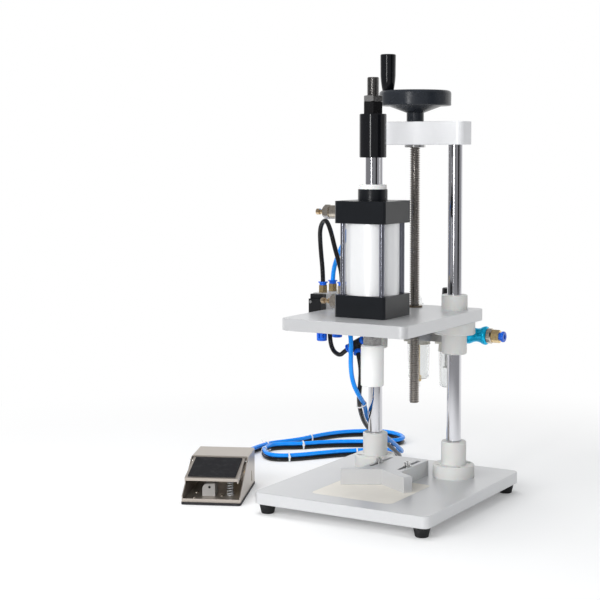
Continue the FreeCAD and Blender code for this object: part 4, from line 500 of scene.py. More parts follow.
class Skin(Enum):
    """The machine's finishes."""

    MILLED = GrainedMetal(
        "milled_aluminium", (0.73, 0.735, 0.745), 0.34, (1.0, 0.04, 1.0), 700.0, 3e-6, 0.12, 0.45
    )
    # Lighter and far less metallic than the milled aluminium: partly the beam's own brushed finish, partly
    # painted light standing in for the bright light on its front face.
    BEAM = GrainedMetal(
        "beam_aluminium", (0.88, 0.885, 0.90), 0.36, (0.04, 1.0, 1.0), 700.0, 3e-6, 0.08, 0.12
    )
    PAD = Moulded("cream_pad", (0.94, 0.90, 0.82), 0.55, 0.0, 900.0, 2e-5, 0.05)
    FOOT = Rubber("foot_rubber", (0.010, 0.010, 0.011))
    NYLON = Moulded("nylon", (0.72, 0.72, 0.70), 0.38, 0.05, 1200.0, 8e-6, 0.05, 0.12)
    WHITE = Moulded("white_head", (0.84, 0.84, 0.83), 0.30, 0.1, 1400.0, 5e-6, 0.04, 0.08)
    SCREW = CastMetal("bright_screw", (0.76, 0.76, 0.75), 0.20)
    CHROME = GrainedMetal("chromed_steel", (0.70, 0.70, 0.73), 0.09, (1.0, 1.0, 60.0), 60.0, 4e-7, 0.05)
    TIE_ROD = GrainedMetal("tie_rod_steel", (0.36, 0.37, 0.43), 0.20, (1.0, 1.0, 30.0), 90.0, 8e-7, 0.10)
    BRONZE = CastMetal("bronze", (0.27, 0.22, 0.16), 0.30)
    SHEET = GrainedMetal("pedal_sheet", (0.60, 0.54, 0.48), 0.34, (0.12, 1.0, 1.0), 1100.0, 5e-6, 0.3, 0.72)
    MAT = Rubber("ribbed_mat", (0.022, 0.022, 0.025))
    GREY = Moulded("grey_valve", (0.56, 0.54, 0.52), 0.42, 0.0, 700.0, 3e-5, 0.10)
    VALVE = Moulded("valve_black", (0.006, 0.0065, 0.0075), 0.36, 0.0, 900.0, 1.5e-5, 0.2)
    VALVE_SILVER = GrainedMetal(
        "valve_silver", (0.76, 0.76, 0.76), 0.34, (1.0, 1.0, 0.1), 800.0, 3e-6, 0.1, 0.5
    )
    BRASS = CastMetal("brass", (0.93, 0.70, 0.36), 0.18, 0.2)
    PALE_BRASS = CastMetal("pale_brass", (0.86, 0.66, 0.43), 0.16, 0.3)
    BLACK_HOSE = HoseSkin("black_hose", (0.006, 0.006, 0.007))
    BLUE_HOSE = HoseSkin("blue_hose", (0.004, 0.28, 1.0))
    SPRING = GrainedMetal("spring_zinc", (0.86, 0.88, 0.90), 0.16, (1.0, 1.0, 1.0), 900.0, 2e-6, 0.1, 0.5)
    BAKELITE = Moulded("black_gloss", (0.0040, 0.0045, 0.0060), 0.12, 0.0, 300.0, 3e-6, 0.2)
    WHEEL = Moulded("wheel_black", (0.019, 0.023, 0.030), 0.28, 0.0, 900.0, 1e-5, 0.15)
    DARK_SCREW = GrainedMetal(
        "lead_screw_steel", (0.50, 0.465, 0.43), 0.28, (1.0, 1.0, 4.0), 500.0, 1e-5, 0.35
    )
    CAP = Moulded("cap_black", (0.0045, 0.0060, 0.0085), 0.30, 0.0, 1500.0, 3e-6, 0.2)
    BARREL = GrainedMetal(
        "barrel_silver", (0.93, 0.935, 0.94), 0.30, (1.0, 1.0, 0.015), 900.0, 2e-6, 0.05, 0.32
    )
    ROD_THREAD = CastMetal("rod_thread_steel", (0.30, 0.29, 0.28), 0.28, 0.3)
    NUT = NutSteel("rod_nut_plating", (0.006, 0.006, 0.0065))
    PLASTIC = Moulded("black_plastic", (0.007, 0.007, 0.008), 0.34, 0.0, 1100.0, 1.2e-5, 0.2)
    NICKEL = CastMetal("nickel", (0.74, 0.67, 0.57), 0.18, 0.25)
    BLUE = Moulded("blue_plastic", (0.006, 0.14, 0.80), 0.26, 0.1, 1500.0, 4e-6, 0.15)
    CREAM = Moulded("cream_plastic", (0.74, 0.72, 0.655), 0.40, 0.0, 800.0, 1.5e-5, 0.06)
    CLEAR = ClearPlastic("clear_bowl", (0.94, 0.95, 0.95))
    ZINC = CastMetal("zinc_sheet", (0.62, 0.62, 0.60), 0.30)
    TURQUOISE = GrainedMetal(
        "turquoise_anodised", (0.002, 0.55, 0.92), 0.18, (6.0, 0.3, 0.3), 500.0, 2e-6, 0.1, 0.55
    )
    TIE = Moulded("white_tie", (0.86, 0.87, 0.88), 0.34, 0.1, 900.0, 6e-6, 0.03, 0.1)
    ELEMENT = Moulded("filter_element", (0.84, 0.83, 0.80), 0.70, 0.0, 1600.0, 6e-5, 0.08)

    @property
    def material(self) -> bpy.types.Material:
        """The finish's material."""
        return self.value.material()


class SubAssembly:
    """A group of parts that dresses its CAD nodes and adds pieces of its own."""

    skins: ClassVar[dict[Skin, tuple[str, ...]]] = {}

    def dress(self) -> None:
        """Gives the CAD nodes their finishes, in their objects' material slots."""
        for skin, names in self.skins.items():
            for name in names:
                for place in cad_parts[name].material_slots:
                    place.material = skin.material
                log.info("dressed %s as %s", name, skin.value.name)

    def build(self) -> list[Item]:
        """Makes the added pieces; returns them."""
        return []


class Stand(SubAssembly):
    """Base with its feet and pad, the columns, the top beam and the bottle block."""

    skins = {
        Skin.MILLED: ("base_plate", "v_block"),
        Skin.BEAM: ("top_beam",),
        Skin.PAD: ("bottle_pad",),
        Skin.FOOT: ("rubber_feet",),
        Skin.NYLON: ("column_flanges",),
        Skin.SCREW: ("frame_screws",),
        Skin.CHROME: ("columns",),
        Skin.BRONZE: ("screw_bush",),
    }


class HeadPlate(SubAssembly):
    """Head plate with its guide bushes and lead nut."""

    skins = {
        Skin.MILLED: ("head_plate",),
        Skin.NYLON: ("guide_bushes", "bush_rings"),
        Skin.SCREW: ("plate_screws",),
        Skin.BRONZE: ("lead_nut",),
    }


class Cylinder(SubAssembly):
    """Tie-rod cylinder on the head."""

    skins = {
        Skin.CAP: ("cylinder_caps", "rod_glands", "piston"),
        Skin.BARREL: ("cylinder_barrel",),
        Skin.TIE_ROD: ("tie_rods",),
        Skin.WHITE: ("bumper_ring",),
    }


# ---- mesh helpers


def new_object(
    name: str, mesh: Form, skin: Skin, smooth: float = 40.0
) -> Item:
    """Turns a bmesh into a shaded object.

    Args:
        name: the piece's name.
        mesh: its shape in metres; it is freed.
        skin: its finish.
        smooth: edges sharper than this angle, in degrees, stay crisp.

    Returns:
        The new object.
    """
    bmesh.ops.recalc_face_normals(mesh, faces=mesh.faces)
    data = bpy.data.meshes.new(name)
    for edge in mesh.edges:
        if len(edge.link_faces) == 2 and edge.calc_face_angle() > math.radians(smooth):
            edge.smooth = False
    for face in mesh.faces:
        face.smooth = True
    mesh.to_mesh(data)
    mesh.free()
    data.materials.append(skin.material)
    return add_object(name, data)


def lathe(
    mesh: Form, profile: Sequence[tuple[float, float]], steps: int = 48
) -> list[bmesh.types.BMVert]:
    """Adds a closed turned form round Z.

    Args:
        mesh: receives the form.
        profile: (radius, height) pairs, in metres, from one end to the other.
        steps: faces round the axis.

    Returns:
        The new vertices.
    """
    rings = []
    made = []
    for radius, height in profile:
        count = 1 if radius < 1e-7 else steps
        ring = []
        for step in range(count):
            angle = 2 * math.pi * step / steps
            ring.append(mesh.verts.new((radius * math.cos(angle), radius * math.sin(angle), height)))
        rings.append(ring)
        made += ring
    for low, high in zip(rings, rings[1:]):
        for step in range(steps):
            after = (step + 1) % steps
            pairs = ((low, step), (low, after), (high, after), (high, step))
            corners = [ring[turn % len(ring)] for ring, turn in pairs]
            unique = list(dict.fromkeys(corners))
            if len(unique) > 2:
                mesh.faces.new(unique)
    for ring in (rings[0], rings[-1]):
        if len(ring) > 1:
            mesh.faces.new(ring)
    return made


def box_form(mesh: Form, size: Point, bevel: float = 0.0) -> list[bmesh.types.BMVert]:
    """Adds a block with rounded edges round the origin.

    Args:
        mesh: receives the block.
        size: its lengths along X, Y and Z.
        bevel: how far its edges are cut back.

    Returns:
        Its vertices.
    """
    made = bmesh.ops.create_cube(mesh, size=1.0)["verts"]
    bmesh.ops.scale(mesh, vec=size, verts=made)
    if bevel:
        edges = list({edge for vert in made for edge in vert.link_edges})
        result = bmesh.ops.bevel(mesh, geom=edges, offset=bevel, segments=3, profile=0.5, affect="EDGES")
        rounded = {vert for face in result["faces"] for vert in face.verts}
        made = list(rounded | {vert for vert in made if vert.is_valid})
    return made


def facing(direction: Vector, across: Vector) -> Matrix:
    """Rotation that takes Z to a direction and X towards another.

    Args:
        direction: where Z goes.
        across: what X turns to, as far as it can.

    Returns:
        The rotation.
    """
    z = direction.normalized()
    x = (across - across.dot(z) * z).normalized()
    y = z.cross(x)
    return Matrix((x, y, z)).transposed().to_4x4()


def spline_curve(name: str, points: Sequence[Vector], radius: float = 0.0) -> Item:
    """A smooth NURBS curve through a hose's route.

    Args:
        name: the curve's name.
        points: control points in metres.
        radius: the hose's radius, or 0 for the bare line.

    Returns:
        The curve's object.
    """
    data = bpy.data.curves.new(name, "CURVE")
    data.dimensions = "3D"
    data.resolution_u = 10
    spline = data.splines.new("NURBS")
    spline.points.add(len(points) - 1)
    for target, point in zip(spline.points, points):
        target.co = (*point, 1.0)
    spline.order_u = 3
    spline.use_endpoint_u = True
    data.bevel_depth = radius
    data.bevel_resolution = 5
    data.use_fill_caps = radius > 0
    return add_object(name, data)


def curve_mesh(item: Item) -> bpy.types.Mesh:
    """Mesh of a curve object, which is removed.

    Args:
        item: the curve object.

    Returns:
        Its mesh, which no object uses.
    """
    graph = bpy.context.evaluated_depsgraph_get()
    made = bpy.data.meshes.new_from_object(item.evaluated_get(graph))
    data = item.data
    bpy.data.objects.remove(item)
    bpy.data.curves.remove(data)
    return made


def route_line(points: Sequence[Vector]) -> list[Vector]:
    """Points along a route's NURBS spline.

    Args:
        points: control points in metres.

    Returns:
        The points in order.
    """
    made = curve_mesh(spline_curve("route_line", points))
    line = [vertex.co.copy() for vertex in made.vertices]
    bpy.data.meshes.remove(made)
    return line


def hose_tube(name: str, points: Sequence[Vector], radius: float, skin: Skin) -> Item:
    """Round hose along a route, as a mesh object.

    Args:
        name: the hose's name.
        points: control points in metres.
        radius: the hose's radius.
        skin: its finish.

    Returns:
        The hose.
    """
    data = curve_mesh(spline_curve(name + "_route", points, radius))
    data.name = name
    data.materials.clear()
    data.materials.append(skin.material)
    data.shade_smooth()
    return add_object(name, data)


def line_length(line: Sequence[Vector]) -> float:
    """Length of a line of points."""
    return sum((after - before).length for before, after in zip(line, line[1:]))


def nearest_step(line: Sequence[Vector], point: Vector) -> int:
    """Index of the point of a line that is nearest to a point."""
    return min(range(len(line)), key=lambda step: (line[step] - point).length)


# ---- studio


@dataclass
class Studio:
    """Camera, lamps and floor."""

    eye: Vector = field(default_factory=lambda: Vector((1.09895, -2.05813, 0.56214)))
    turn: float = 0.54202
    tilt: float = 0.05389
    lens: float = 84.612
    shift: float = -0.12
    floor_z: float = -0.037
    floor_half: float = 14.0
    floor_light: float = 0.14
    floor_fade: tuple[float, float] = (0.42, 1.3)
    sky_light: float = 0.40

    def camera(self) -> None:
        """Sets the camera at the photograph's angle."""
        data = bpy.data.cameras.new("camera")
        data.lens = self.lens
        data.shift_y = self.shift
        data.clip_start = 0.05
        data.clip_end = 60.0
        item = add_object("camera", data)
        item.location = self.eye
        item.rotation_euler = (math.pi / 2 - self.tilt, 0.0, self.turn)
        bpy.context.scene.camera = item

    def floor(self) -> None:
        """Pale floor that keeps the machine's shadow."""
        half = self.floor_half
        corners = [(-half, -half), (half, -half), (half, half), (-half, half)]
        data = bpy.data.meshes.new("floor")
        data.from_pydata([(x, y, self.floor_z) for x, y in corners], [], [(0, 1, 2, 3)])
        bench = Bench("pale_floor")
        rays = bench.node("LightPath")
        glossy = Signal(bench, rays.outputs["Is Glossy Ray"])
        away = bench.node("VectorMath", {"operation": "LENGTH"}, {0: bench.place()})
        far = Signal(bench, away.outputs["Value"]).fade(*self.floor_fade)
        to_camera = Vector((self.eye.x, self.eye.y, 0.0)).normalized()
        ahead = bench.node("VectorMath", {"operation": "DOT_PRODUCT"}, {0: bench.place(), 1: to_camera})
        front = Signal(bench, ahead.outputs["Value"]).fade(-0.5, 0.3)
        bench.dress({"Base Color": (0.88, 0.88, 0.88), "Roughness": 0.75, "Specular IOR Level": 0.1})
        tone = bench.mix(front * glossy, WHITE_LIGHT, (0.34, 0.34, 0.35))
        beyond = bench.node("Emission", None, {"Color": tone, "Strength": 1.0})
        pale = bench.node("Emission", None, {"Color": WHITE_LIGHT, "Strength": self.floor_light})
        near = bench.node("AddShader", None, {0: bench.shader.outputs[0], 1: pale.outputs[0]})
        seen = bench.node("MixShader", None, {0: far, 1: near.outputs[0], 2: beyond.outputs[0]})
        shown = glossy + rays.outputs["Is Camera Ray"] + rays.outputs["Is Transmission Ray"]
        blend = bench.node("MixShader", None, {0: shown, 1: bench.shader.outputs[0], 2: seen.outputs[0]})
        bench.plug(bench.output.inputs["Surface"], blend.outputs[0])
        data.materials.append(bench.material)
        add_object("floor", data)

    def screen(self, name: str, rings: Sequence[Sequence[Point]], tone: float) -> None:
        """Plain grey screen of the room, which only reflections show.

        Args:
            name: the screen's name.
            rings: rows of points of the same number.
            tone: how light it is.
        """
        mesh = bmesh.new()
        rows = [[mesh.verts.new(point) for point in ring] for ring in rings]
        for low, high in zip(rows, rows[1:]):
            for step in range(len(low) - 1):
                mesh.faces.new((low[step], low[step + 1], high[step + 1], high[step]))
        data = bpy.data.meshes.new(name)
        mesh.to_mesh(data)
        mesh.free()
        bench = Bench(name)
        glow = bench.node("Emission", None, {"Color": (tone, tone, 1.03 * tone), "Strength": 1.0})
        bench.plug(bench.output.inputs["Surface"], glow.outputs[0])
        data.materials.append(bench.material)
        item = add_object(name, data)
        item.visible_camera = False
        item.visible_diffuse = False
        item.visible_shadow = False
        item.visible_transmission = False

    def wall(
        self, name: str, span: tuple[float, float], radius: float, top: float, tone: float
    ) -> None:
        """Curved screen round the machine.

        Args:
            name: the screen's name.
            span: its two ends, in degrees to the right of the camera.
            radius: how far it stands from the machine.
            top: its height.
            tone: how light it is.
        """
        turns = [span[0] + (span[1] - span[0]) * step / 24 for step in range(25)]
        rings = [[self.around(turn, radius, height) for turn in turns] for height in (self.floor_z, top)]
        self.screen(name, rings, tone)

    def lamp(
        self, name: str, place: Point, aim: Point, size: tuple[float, float], power: float, glints: bool
    ) -> None:
        """Soft lamp.

        Args:
            name: the lamp's name.
            place: where it stands.
            aim: the point it looks at.
            size: its width and height.
            power: its power in watts.
            glints: whether it shows in polished metal.
        """
        data = bpy.data.lights.new(name, "AREA")
        data.shape = "RECTANGLE"
        data.size, data.size_y = size
        data.energy = power
        item = add_object(name, data)
        item.visible_glossy = glints
        item.location = place
        item.rotation_euler = (Vector(place) - Vector(aim)).to_track_quat("Z", "Y").to_euler()

    def sky(self) -> None:
        """White surround for camera, gloss and glass; a plainer level for light."""
        world = bpy.data.worlds.new("surround")
        bpy.context.scene.world = world
        world.use_nodes = True
        bench = NodeBench(world.node_tree)
        rays = bench.node("LightPath").outputs
        shown = Signal(bench, rays["Is Camera Ray"]).either(rays["Is Transmission Ray"])
        shown = shown.either(rays["Is Glossy Ray"])
        seen = bench.node("Background", None, {"Color": WHITE_LIGHT, "Strength": 1.0})
        light = bench.node("Background", None, {"Color": (0.96, 0.98, 1.0), "Strength": self.sky_light})
        mixed = bench.node("MixShader", None, {0: shown, 1: light.outputs[0], 2: seen.outputs[0]})
        bench.node("OutputWorld", None, {"Surface": mixed.outputs[0]})

    def around(self, turn: float, radius: float, height: float) -> Point:
        """A place a turn in degrees to the right of the camera, a distance from the machine."""
        angle = math.atan2(self.eye.y, self.eye.x) + math.radians(turn)
        return (radius * math.cos(angle), radius * math.sin(angle), height)

    def build(self) -> None:
        """Sets up the whole studio."""
        self.camera()
        self.floor()
        self.sky()
        self.wall("front_wall", (-130.0, 42.0), 3.6, 2.7, 0.27)
        self.wall("dark_wall", (42.0, 70.0), 3.5, 2.7, 0.03)
        self.wall("side_wall", (70.0, 112.0), 3.6, 2.7, 0.36)
        self.screen("ceiling", [[(x, y, 2.75) for x in (-3.6, 3.6)] for y in (-3.6, 3.6)], 0.30)
        self.lamp("strip", self.around(-22.0, 2.9, 1.1), (0.0, 0.0, 0.35), (0.22, 2.0), 18.0, True)
        self.lamp("fill", self.around(-52.0, 2.8, 1.5), (0.0, 0.0, 0.3), (1.4, 1.4), 35.0, False)
        self.lamp("front", self.around(-6.0, 2.8, 0.8), (0.0, 0.0, 0.4), (1.2, 1.2), 22.0, False)
        self.lamp("top", (-0.6, 0.1, 2.5), (0.0, 0.0, 0.2), (1.4, 1.4), 26.0, False)
        bpy.context.scene.view_settings.view_transform = "Standard"


# ---- hoses


@dataclass
class PedalHoses(SubAssembly):
    """The black and the blue hose from the head to the foot valve, with their coil and ties."""

    radius: float = 0.004
    floor_z: float = -33.0
    lift: float = 7.6
    beside: float = 2.5
    blend_top: float = 0.205
    blend_foot: float = -0.002
    tie_gap: float = 0.0004
    tie_thick: float = 0.0011
    tie_width: float = 0.0028
    tie_lean: float = 0.45
    lock_size: Point = (0.0042, 0.0050, 0.0044)

    black_drop: tuple[Point, ...] = (
        (-66.3, 68, 223.1), (-57.6, 61.2, 205), (-54.8, 61, 186), (-60, 68.5, 164),
        (-70.5, 84, 143), (-82.5, 105, 119), (-94, 135, 94), (-104, 166, 73),
        (-110, 198, 54), (-114, 230, 38), (-117, 262, 23), (-120, 294, 7),
        (-124, 326, -9), (-131, 358, -24), (-144, 386, -33), (-164, 396, -33),
    )
    blue_drop: tuple[Point, ...] = (
        (-128.5, 142, 295), (-128.5, 171, 295), (-128, 189.5, 280), (-126.5, 190.5, 255),
        (-123.5, 173, 238), (-118.5, 144, 235), (-110, 112, 244), (-97, 85, 257),
        (-81, 64, 260), (-68.5, 50, 246), (-67.5, 48.5, 221), (-69.5, 51, 192),
        (-69.5, 59, 164), (-68.5, 77, 141), (-74, 104, 124.5), (-86, 134, 109),
        (-101, 168, 84), (-107.6, 202.4, 61.6), (-111.6, 234.4, 45.6), (-114.6, 266.4, 30.6),
        (-117.6, 298.4, 14.6), (-121.6, 330.4, -1.4), (-128.6, 363, -15), (-142, 391, -25.4),
        (-163, 401, -25.4),
    )
    strands: tuple[tuple[float, float], ...] = (
        (-188, 388), (-212, 370), (-230, 353), (-247, 338), (-264, 316), (-282, 290),
        (-300, 264), (-320, 243), (-342, 233), (-363, 241), (-383, 262), (-397, 290),
        (-398, 318), (-380, 337), (-354, 354), (-333, 378), (-312, 401), (-288, 420),
        (-260, 437), (-235, 453), (-214, 470), (-199, 492), (-202, 516), (-220, 536),
        (-246, 550), (-275, 552), (-304, 536), (-329, 516), (-347, 492), (-361, 460),
        (-370, 423), (-378, 391), (-392, 360), (-408, 332),
    )
    lead: tuple[tuple[float, float], ...] = (
        (-415, 300), (-413, 262), (-402, 214), (-380, 164), (-352, 124), (-331, 100),
    )
    black_end: tuple[Point, ...] = ((-301.8, 88, -17), (-291.9, 66.1, -17))
    blue_end: tuple[Point, ...] = ((-318.2, 80.5, -17), (-308.3, 58.7, -17))

    def route(
        self, drop: Sequence[Point], lift: float, beside: float, end: Sequence[Point]
    ) -> list[Vector]:
        """Control points of one hose from the head to the foot valve.

        Args:
            drop: its points from the head to the floor.
            lift: its height over the floor hose, in millimetres.
            beside: its distance beside that hose, in millimetres.
            end: its points at the foot valve.

        Returns:
            The points in metres.
        """
        height = self.floor_z + lift
        coil = [(x, y + beside, height) for x, y in self.strands]
        back = [(x + 1.2 * beside, y, height) for x, y in self.lead]
        return metres([*drop, *coil, *back, *end])

    def tie(
        self, name: str, centre: Vector, along: Vector, pair: Vector, tail: float, flip: bool
    ) -> Item:
        """White tie round the two hoses.

        Args:
            name: the tie's name.
            centre: middle of the pair.
            along: direction of the hoses.
            pair: from the black hose's line to the blue one's.
            tail: length of the cut end that stands out.
            flip: puts the head on the other side.

        Returns:
            The tie's object.
        """
        half = pair.length / 2
        reach = self.radius + self.tie_gap
        thick, width = self.tie_thick, self.tie_width
        steps = 10
        outline = []
        for side, start in ((1, 0.0), (-1, math.pi)):
            for step in range(steps + 1):
                angle = start + math.pi * step / steps
                outline.append((reach * math.cos(angle), half * side + reach * math.sin(angle)))
        mesh = bmesh.new()
        rings = []
        for index, (x, y) in enumerate(outline):
            before, after = outline[index - 1], outline[(index + 1) % len(outline)]
            normal = Vector((after[1] - before[1], before[0] - after[0])).normalized()
            ring = []
            for depth, side in ((0, -1), (0, 1), (1, 1), (1, -1)):
                out = normal * thick * depth
                ring.append(mesh.verts.new((x + out.x, y + out.y, side * width / 2)))
            rings.append(ring)
        for ring, following in zip(rings, rings[1:] + rings[:1]):
            for corner in range(4):
                after = (corner + 1) % 4
                mesh.faces.new((ring[corner], ring[after], following[after], following[corner]))
        side = -1.0 if flip else 1.0
        lock = box_form(mesh, self.lock_size, 0.0006)
        bmesh.ops.translate(mesh, vec=(side * (reach + self.lock_size[0] / 2), 0.0, 0.0), verts=lock)
        strap = box_form(mesh, (tail, thick, width * 0.9), 0.0003)
        lean = Matrix.Rotation(self.tie_lean * side, 4, "Z")
        bmesh.ops.translate(mesh, vec=(side * (reach + tail / 2), 0.001, 0.0), verts=strap)
        bmesh.ops.rotate(mesh, cent=(side * reach, 0.0, 0.0), matrix=lean, verts=strap)
        item = new_object(name, mesh, Skin.TIE, 50.0)
        turn = facing(along, pair.cross(along))
        if (turn @ Vector((0.0, 1.0, 0.0))).dot(pair) < 0:
            turn = turn @ Matrix.Rotation(math.pi, 4, "Z")
        item.data.transform(Matrix.Translation(centre) @ turn)
        if centre.z < 0.0:
            lowest = self.floor_z * MM - self.radius + 0.0001
            for vertex in item.data.vertices:
                vertex.co.z = max(vertex.co.z, lowest)
        return item

    def build(self) -> list[Item]:
        """Makes both hoses and their ties.

        Returns:
            The hoses, then the ties.
        """
        black_points = self.route(self.black_drop, 0.0, 0.0, self.black_end)
        blue_points = self.route(self.blue_drop, self.lift, self.beside, self.blue_end)
        black_line = route_line(black_points)
        blue_line = route_line(blue_points)
        black = hose_tube("black_pedal_hose", black_points, self.radius, Skin.BLACK_HOSE)
        blue = hose_tube("blue_pedal_hose", blue_points, self.radius, Skin.BLUE_HOSE)
        ties = []
        places = (
            ("drop_tie", (-80.0, 113.0, 118.0), 0.009, False),
            ("coil_tie_1", (-315.0, 248.0, -29.0), 0.006, False),
            ("coil_tie_2", (-225.5, 357.0, -29.0), 0.005, True),
            ("coil_tie_3", (-349.0, 360.0, -29.0), 0.009, True),
            ("coil_tie_4", (-370.0, 423.0, -29.0), 0.012, True),
            ("coil_tie_5", (-388.0, 272.0, -29.0), 0.010, True),
            ("coil_tie_6", (-411.0, 320.0, -29.0), 0.016, True),
            ("coil_tie_7", (-212.0, 473.0, -29.0), 0.008, False),
        )
        for name, place, tail, flip in places:
            spot = Vector(place) * MM
            step = nearest_step(black_line, spot)
            low = black_line[step]
            high = blue_line[nearest_step(blue_line, low)]
            along = (black_line[step + 2] - black_line[step - 2]).normalized()
            pair = high - low
            pair -= pair.dot(along) * along
            tie = self.tie(name, low + pair / 2, along, pair, tail, flip)
            if name == "drop_tie":
                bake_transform(tie)
            else:
                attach(tie, "machine_base")
            ties.append(tie)
        for item in (black, blue):
            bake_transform(item)
        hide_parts("black_hose_drop", "black_hose_lead", "hose_coil")
        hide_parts("blue_hose_drop", "blue_hose_lead")
        line_length(black_line)
        line_length(blue_line)
        log.info("pedal hoses %.3f m and %.3f m", line_length(black_line), line_length(blue_line))
        return [black, blue, *ties]


@dataclass
class HeadHoses(SubAssembly):
    """Valve and fittings, with the short hoses between them, the cylinder and the air unit."""

    skins = {
        Skin.VALVE_SILVER: ("valve_body",),
        Skin.VALVE: ("valve_end_caps",),
        Skin.BRASS: ("brass_fittings",),
        Skin.PLASTIC: ("tee_fitting",),
        Skin.NICKEL: ("nickel_fittings", "controller_bodies"),
        Skin.PALE_BRASS: ("needle_top", "needle_bottom"),
        Skin.BLUE: ("fitting_collars", "exhaust_silencers"),
        Skin.TURQUOISE: ("slide_sleeve",),
    }
    radius: float = 0.004
    bottom_cap: tuple[Point, ...] = (
        (-128.5, 58, 327), (-128.5, 58, 351), (-132.5, 56, 396), (-129.5, 48, 432),
        (-113, 39, 448), (-97, 28, 432), (-80, 15, 398), (-67, 5, 377),
        (-58, 0, 356), (-58, 0, 334),
    )
    tee: tuple[Point, ...] = (
        (-128.5, 81, 262), (-128.5, 81, 236), (-121, 78.5, 214), (-102.2, 72, 207),
        (-92, 71, 216.8), (-76.9, 71, 225.5),
    )
    supply: tuple[Point, ...] = (
        (-54, 213.7, 240), (-54, 183.7, 240), (-40, 145.7, 242), (-31, 112, 247),
        (-33, 84, 252), (-46.6, 71, 243), (-63.1, 71, 233.5),
    )
    top_cap: tuple[Point, ...] = (
        (-128.5, 92, 327), (-128.5, 92, 351), (-114.5, 84, 380), (-94, 74, 410),
        (-84, 76, 440), (-74, 78, 461.5), (-65, 49, 461.5), (-65, 23, 461.5),
    )

    def build(self) -> list[Item]:
        """Makes the hoses.

        Returns:
            The three black hoses, then the blue one.
        """
        made = []
        routes = {"bottom_cap_hose": self.bottom_cap, "tee_hose": self.tee, "supply_hose": self.supply}
        for name, route in routes.items():
            made.append(hose_tube(name, metres(route), self.radius, Skin.BLACK_HOSE))
        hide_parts("head_hoses_black")
        made.append(hose_tube("top_cap_hose", metres(self.top_cap), self.radius, Skin.BLUE_HOSE))
        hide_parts("head_hoses_blue")
        for item in made:
            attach(item, "head")
        return made


# ---- threads


def cut_thread(
    mesh: Form,
    span: tuple[float, float],
    crest: float,
    depth: float,
    pitch: float,
    flat: float = 0.3,
    steps: int = 40,
) -> None:
    """Adds a threaded bar round Z.

    Args:
        mesh: receives the bar.
        span: its lower and upper height.
        crest: radius over the thread.
        depth: depth of the thread.
        pitch: rise of one turn.
        flat: share of the pitch that is flat at the crest and at the root.
        steps: faces round the bar.
    """
    part = bmesh.new()
    root = crest - depth
    places = ((0.0, root), (flat, root), (0.5, crest), (0.5 + flat, crest))
    turns = int((span[1] - span[0]) / pitch) + 3
    start = span[0] - 1.5 * pitch
    rows = []
    for turn in range(turns):
        for place, radius in places:
            row = []
            for step in range(steps):
                angle = 2 * math.pi * step / steps
                height = start + pitch * (turn + place + step / steps)
                row.append(part.verts.new((radius * math.cos(angle), radius * math.sin(angle), height)))
            rows.append(row)
    count = len(places)
    for index in range(len(rows) - 1):
        for step in range(steps - 1):
            low, high = rows[index], rows[index + 1]
            part.faces.new((low[step], low[step + 1], high[step + 1], high[step]))
        if index + count + 1 < len(rows):
            part.faces.new((low[-1], rows[index + count][0], rows[index + count + 1][0], high[-1]))
    for height, way in ((span[0], -1.0), (span[1], 1.0)):
        geometry = list(part.verts) + list(part.edges) + list(part.faces)
        cut = bmesh.ops.bisect_plane(
            part, geom=geometry, plane_co=(0.0, 0.0, height), plane_no=(0.0, 0.0, way), clear_outer=True
        )
        edges = [piece for piece in cut["geom_cut"] if isinstance(piece, bmesh.types.BMEdge)]
        bmesh.ops.contextual_create(part, geom=edges)
    data = bpy.data.meshes.new("thread_part")
    part.to_mesh(data)
    part.free()
    mesh.from_mesh(data)
    bpy.data.meshes.remove(data)


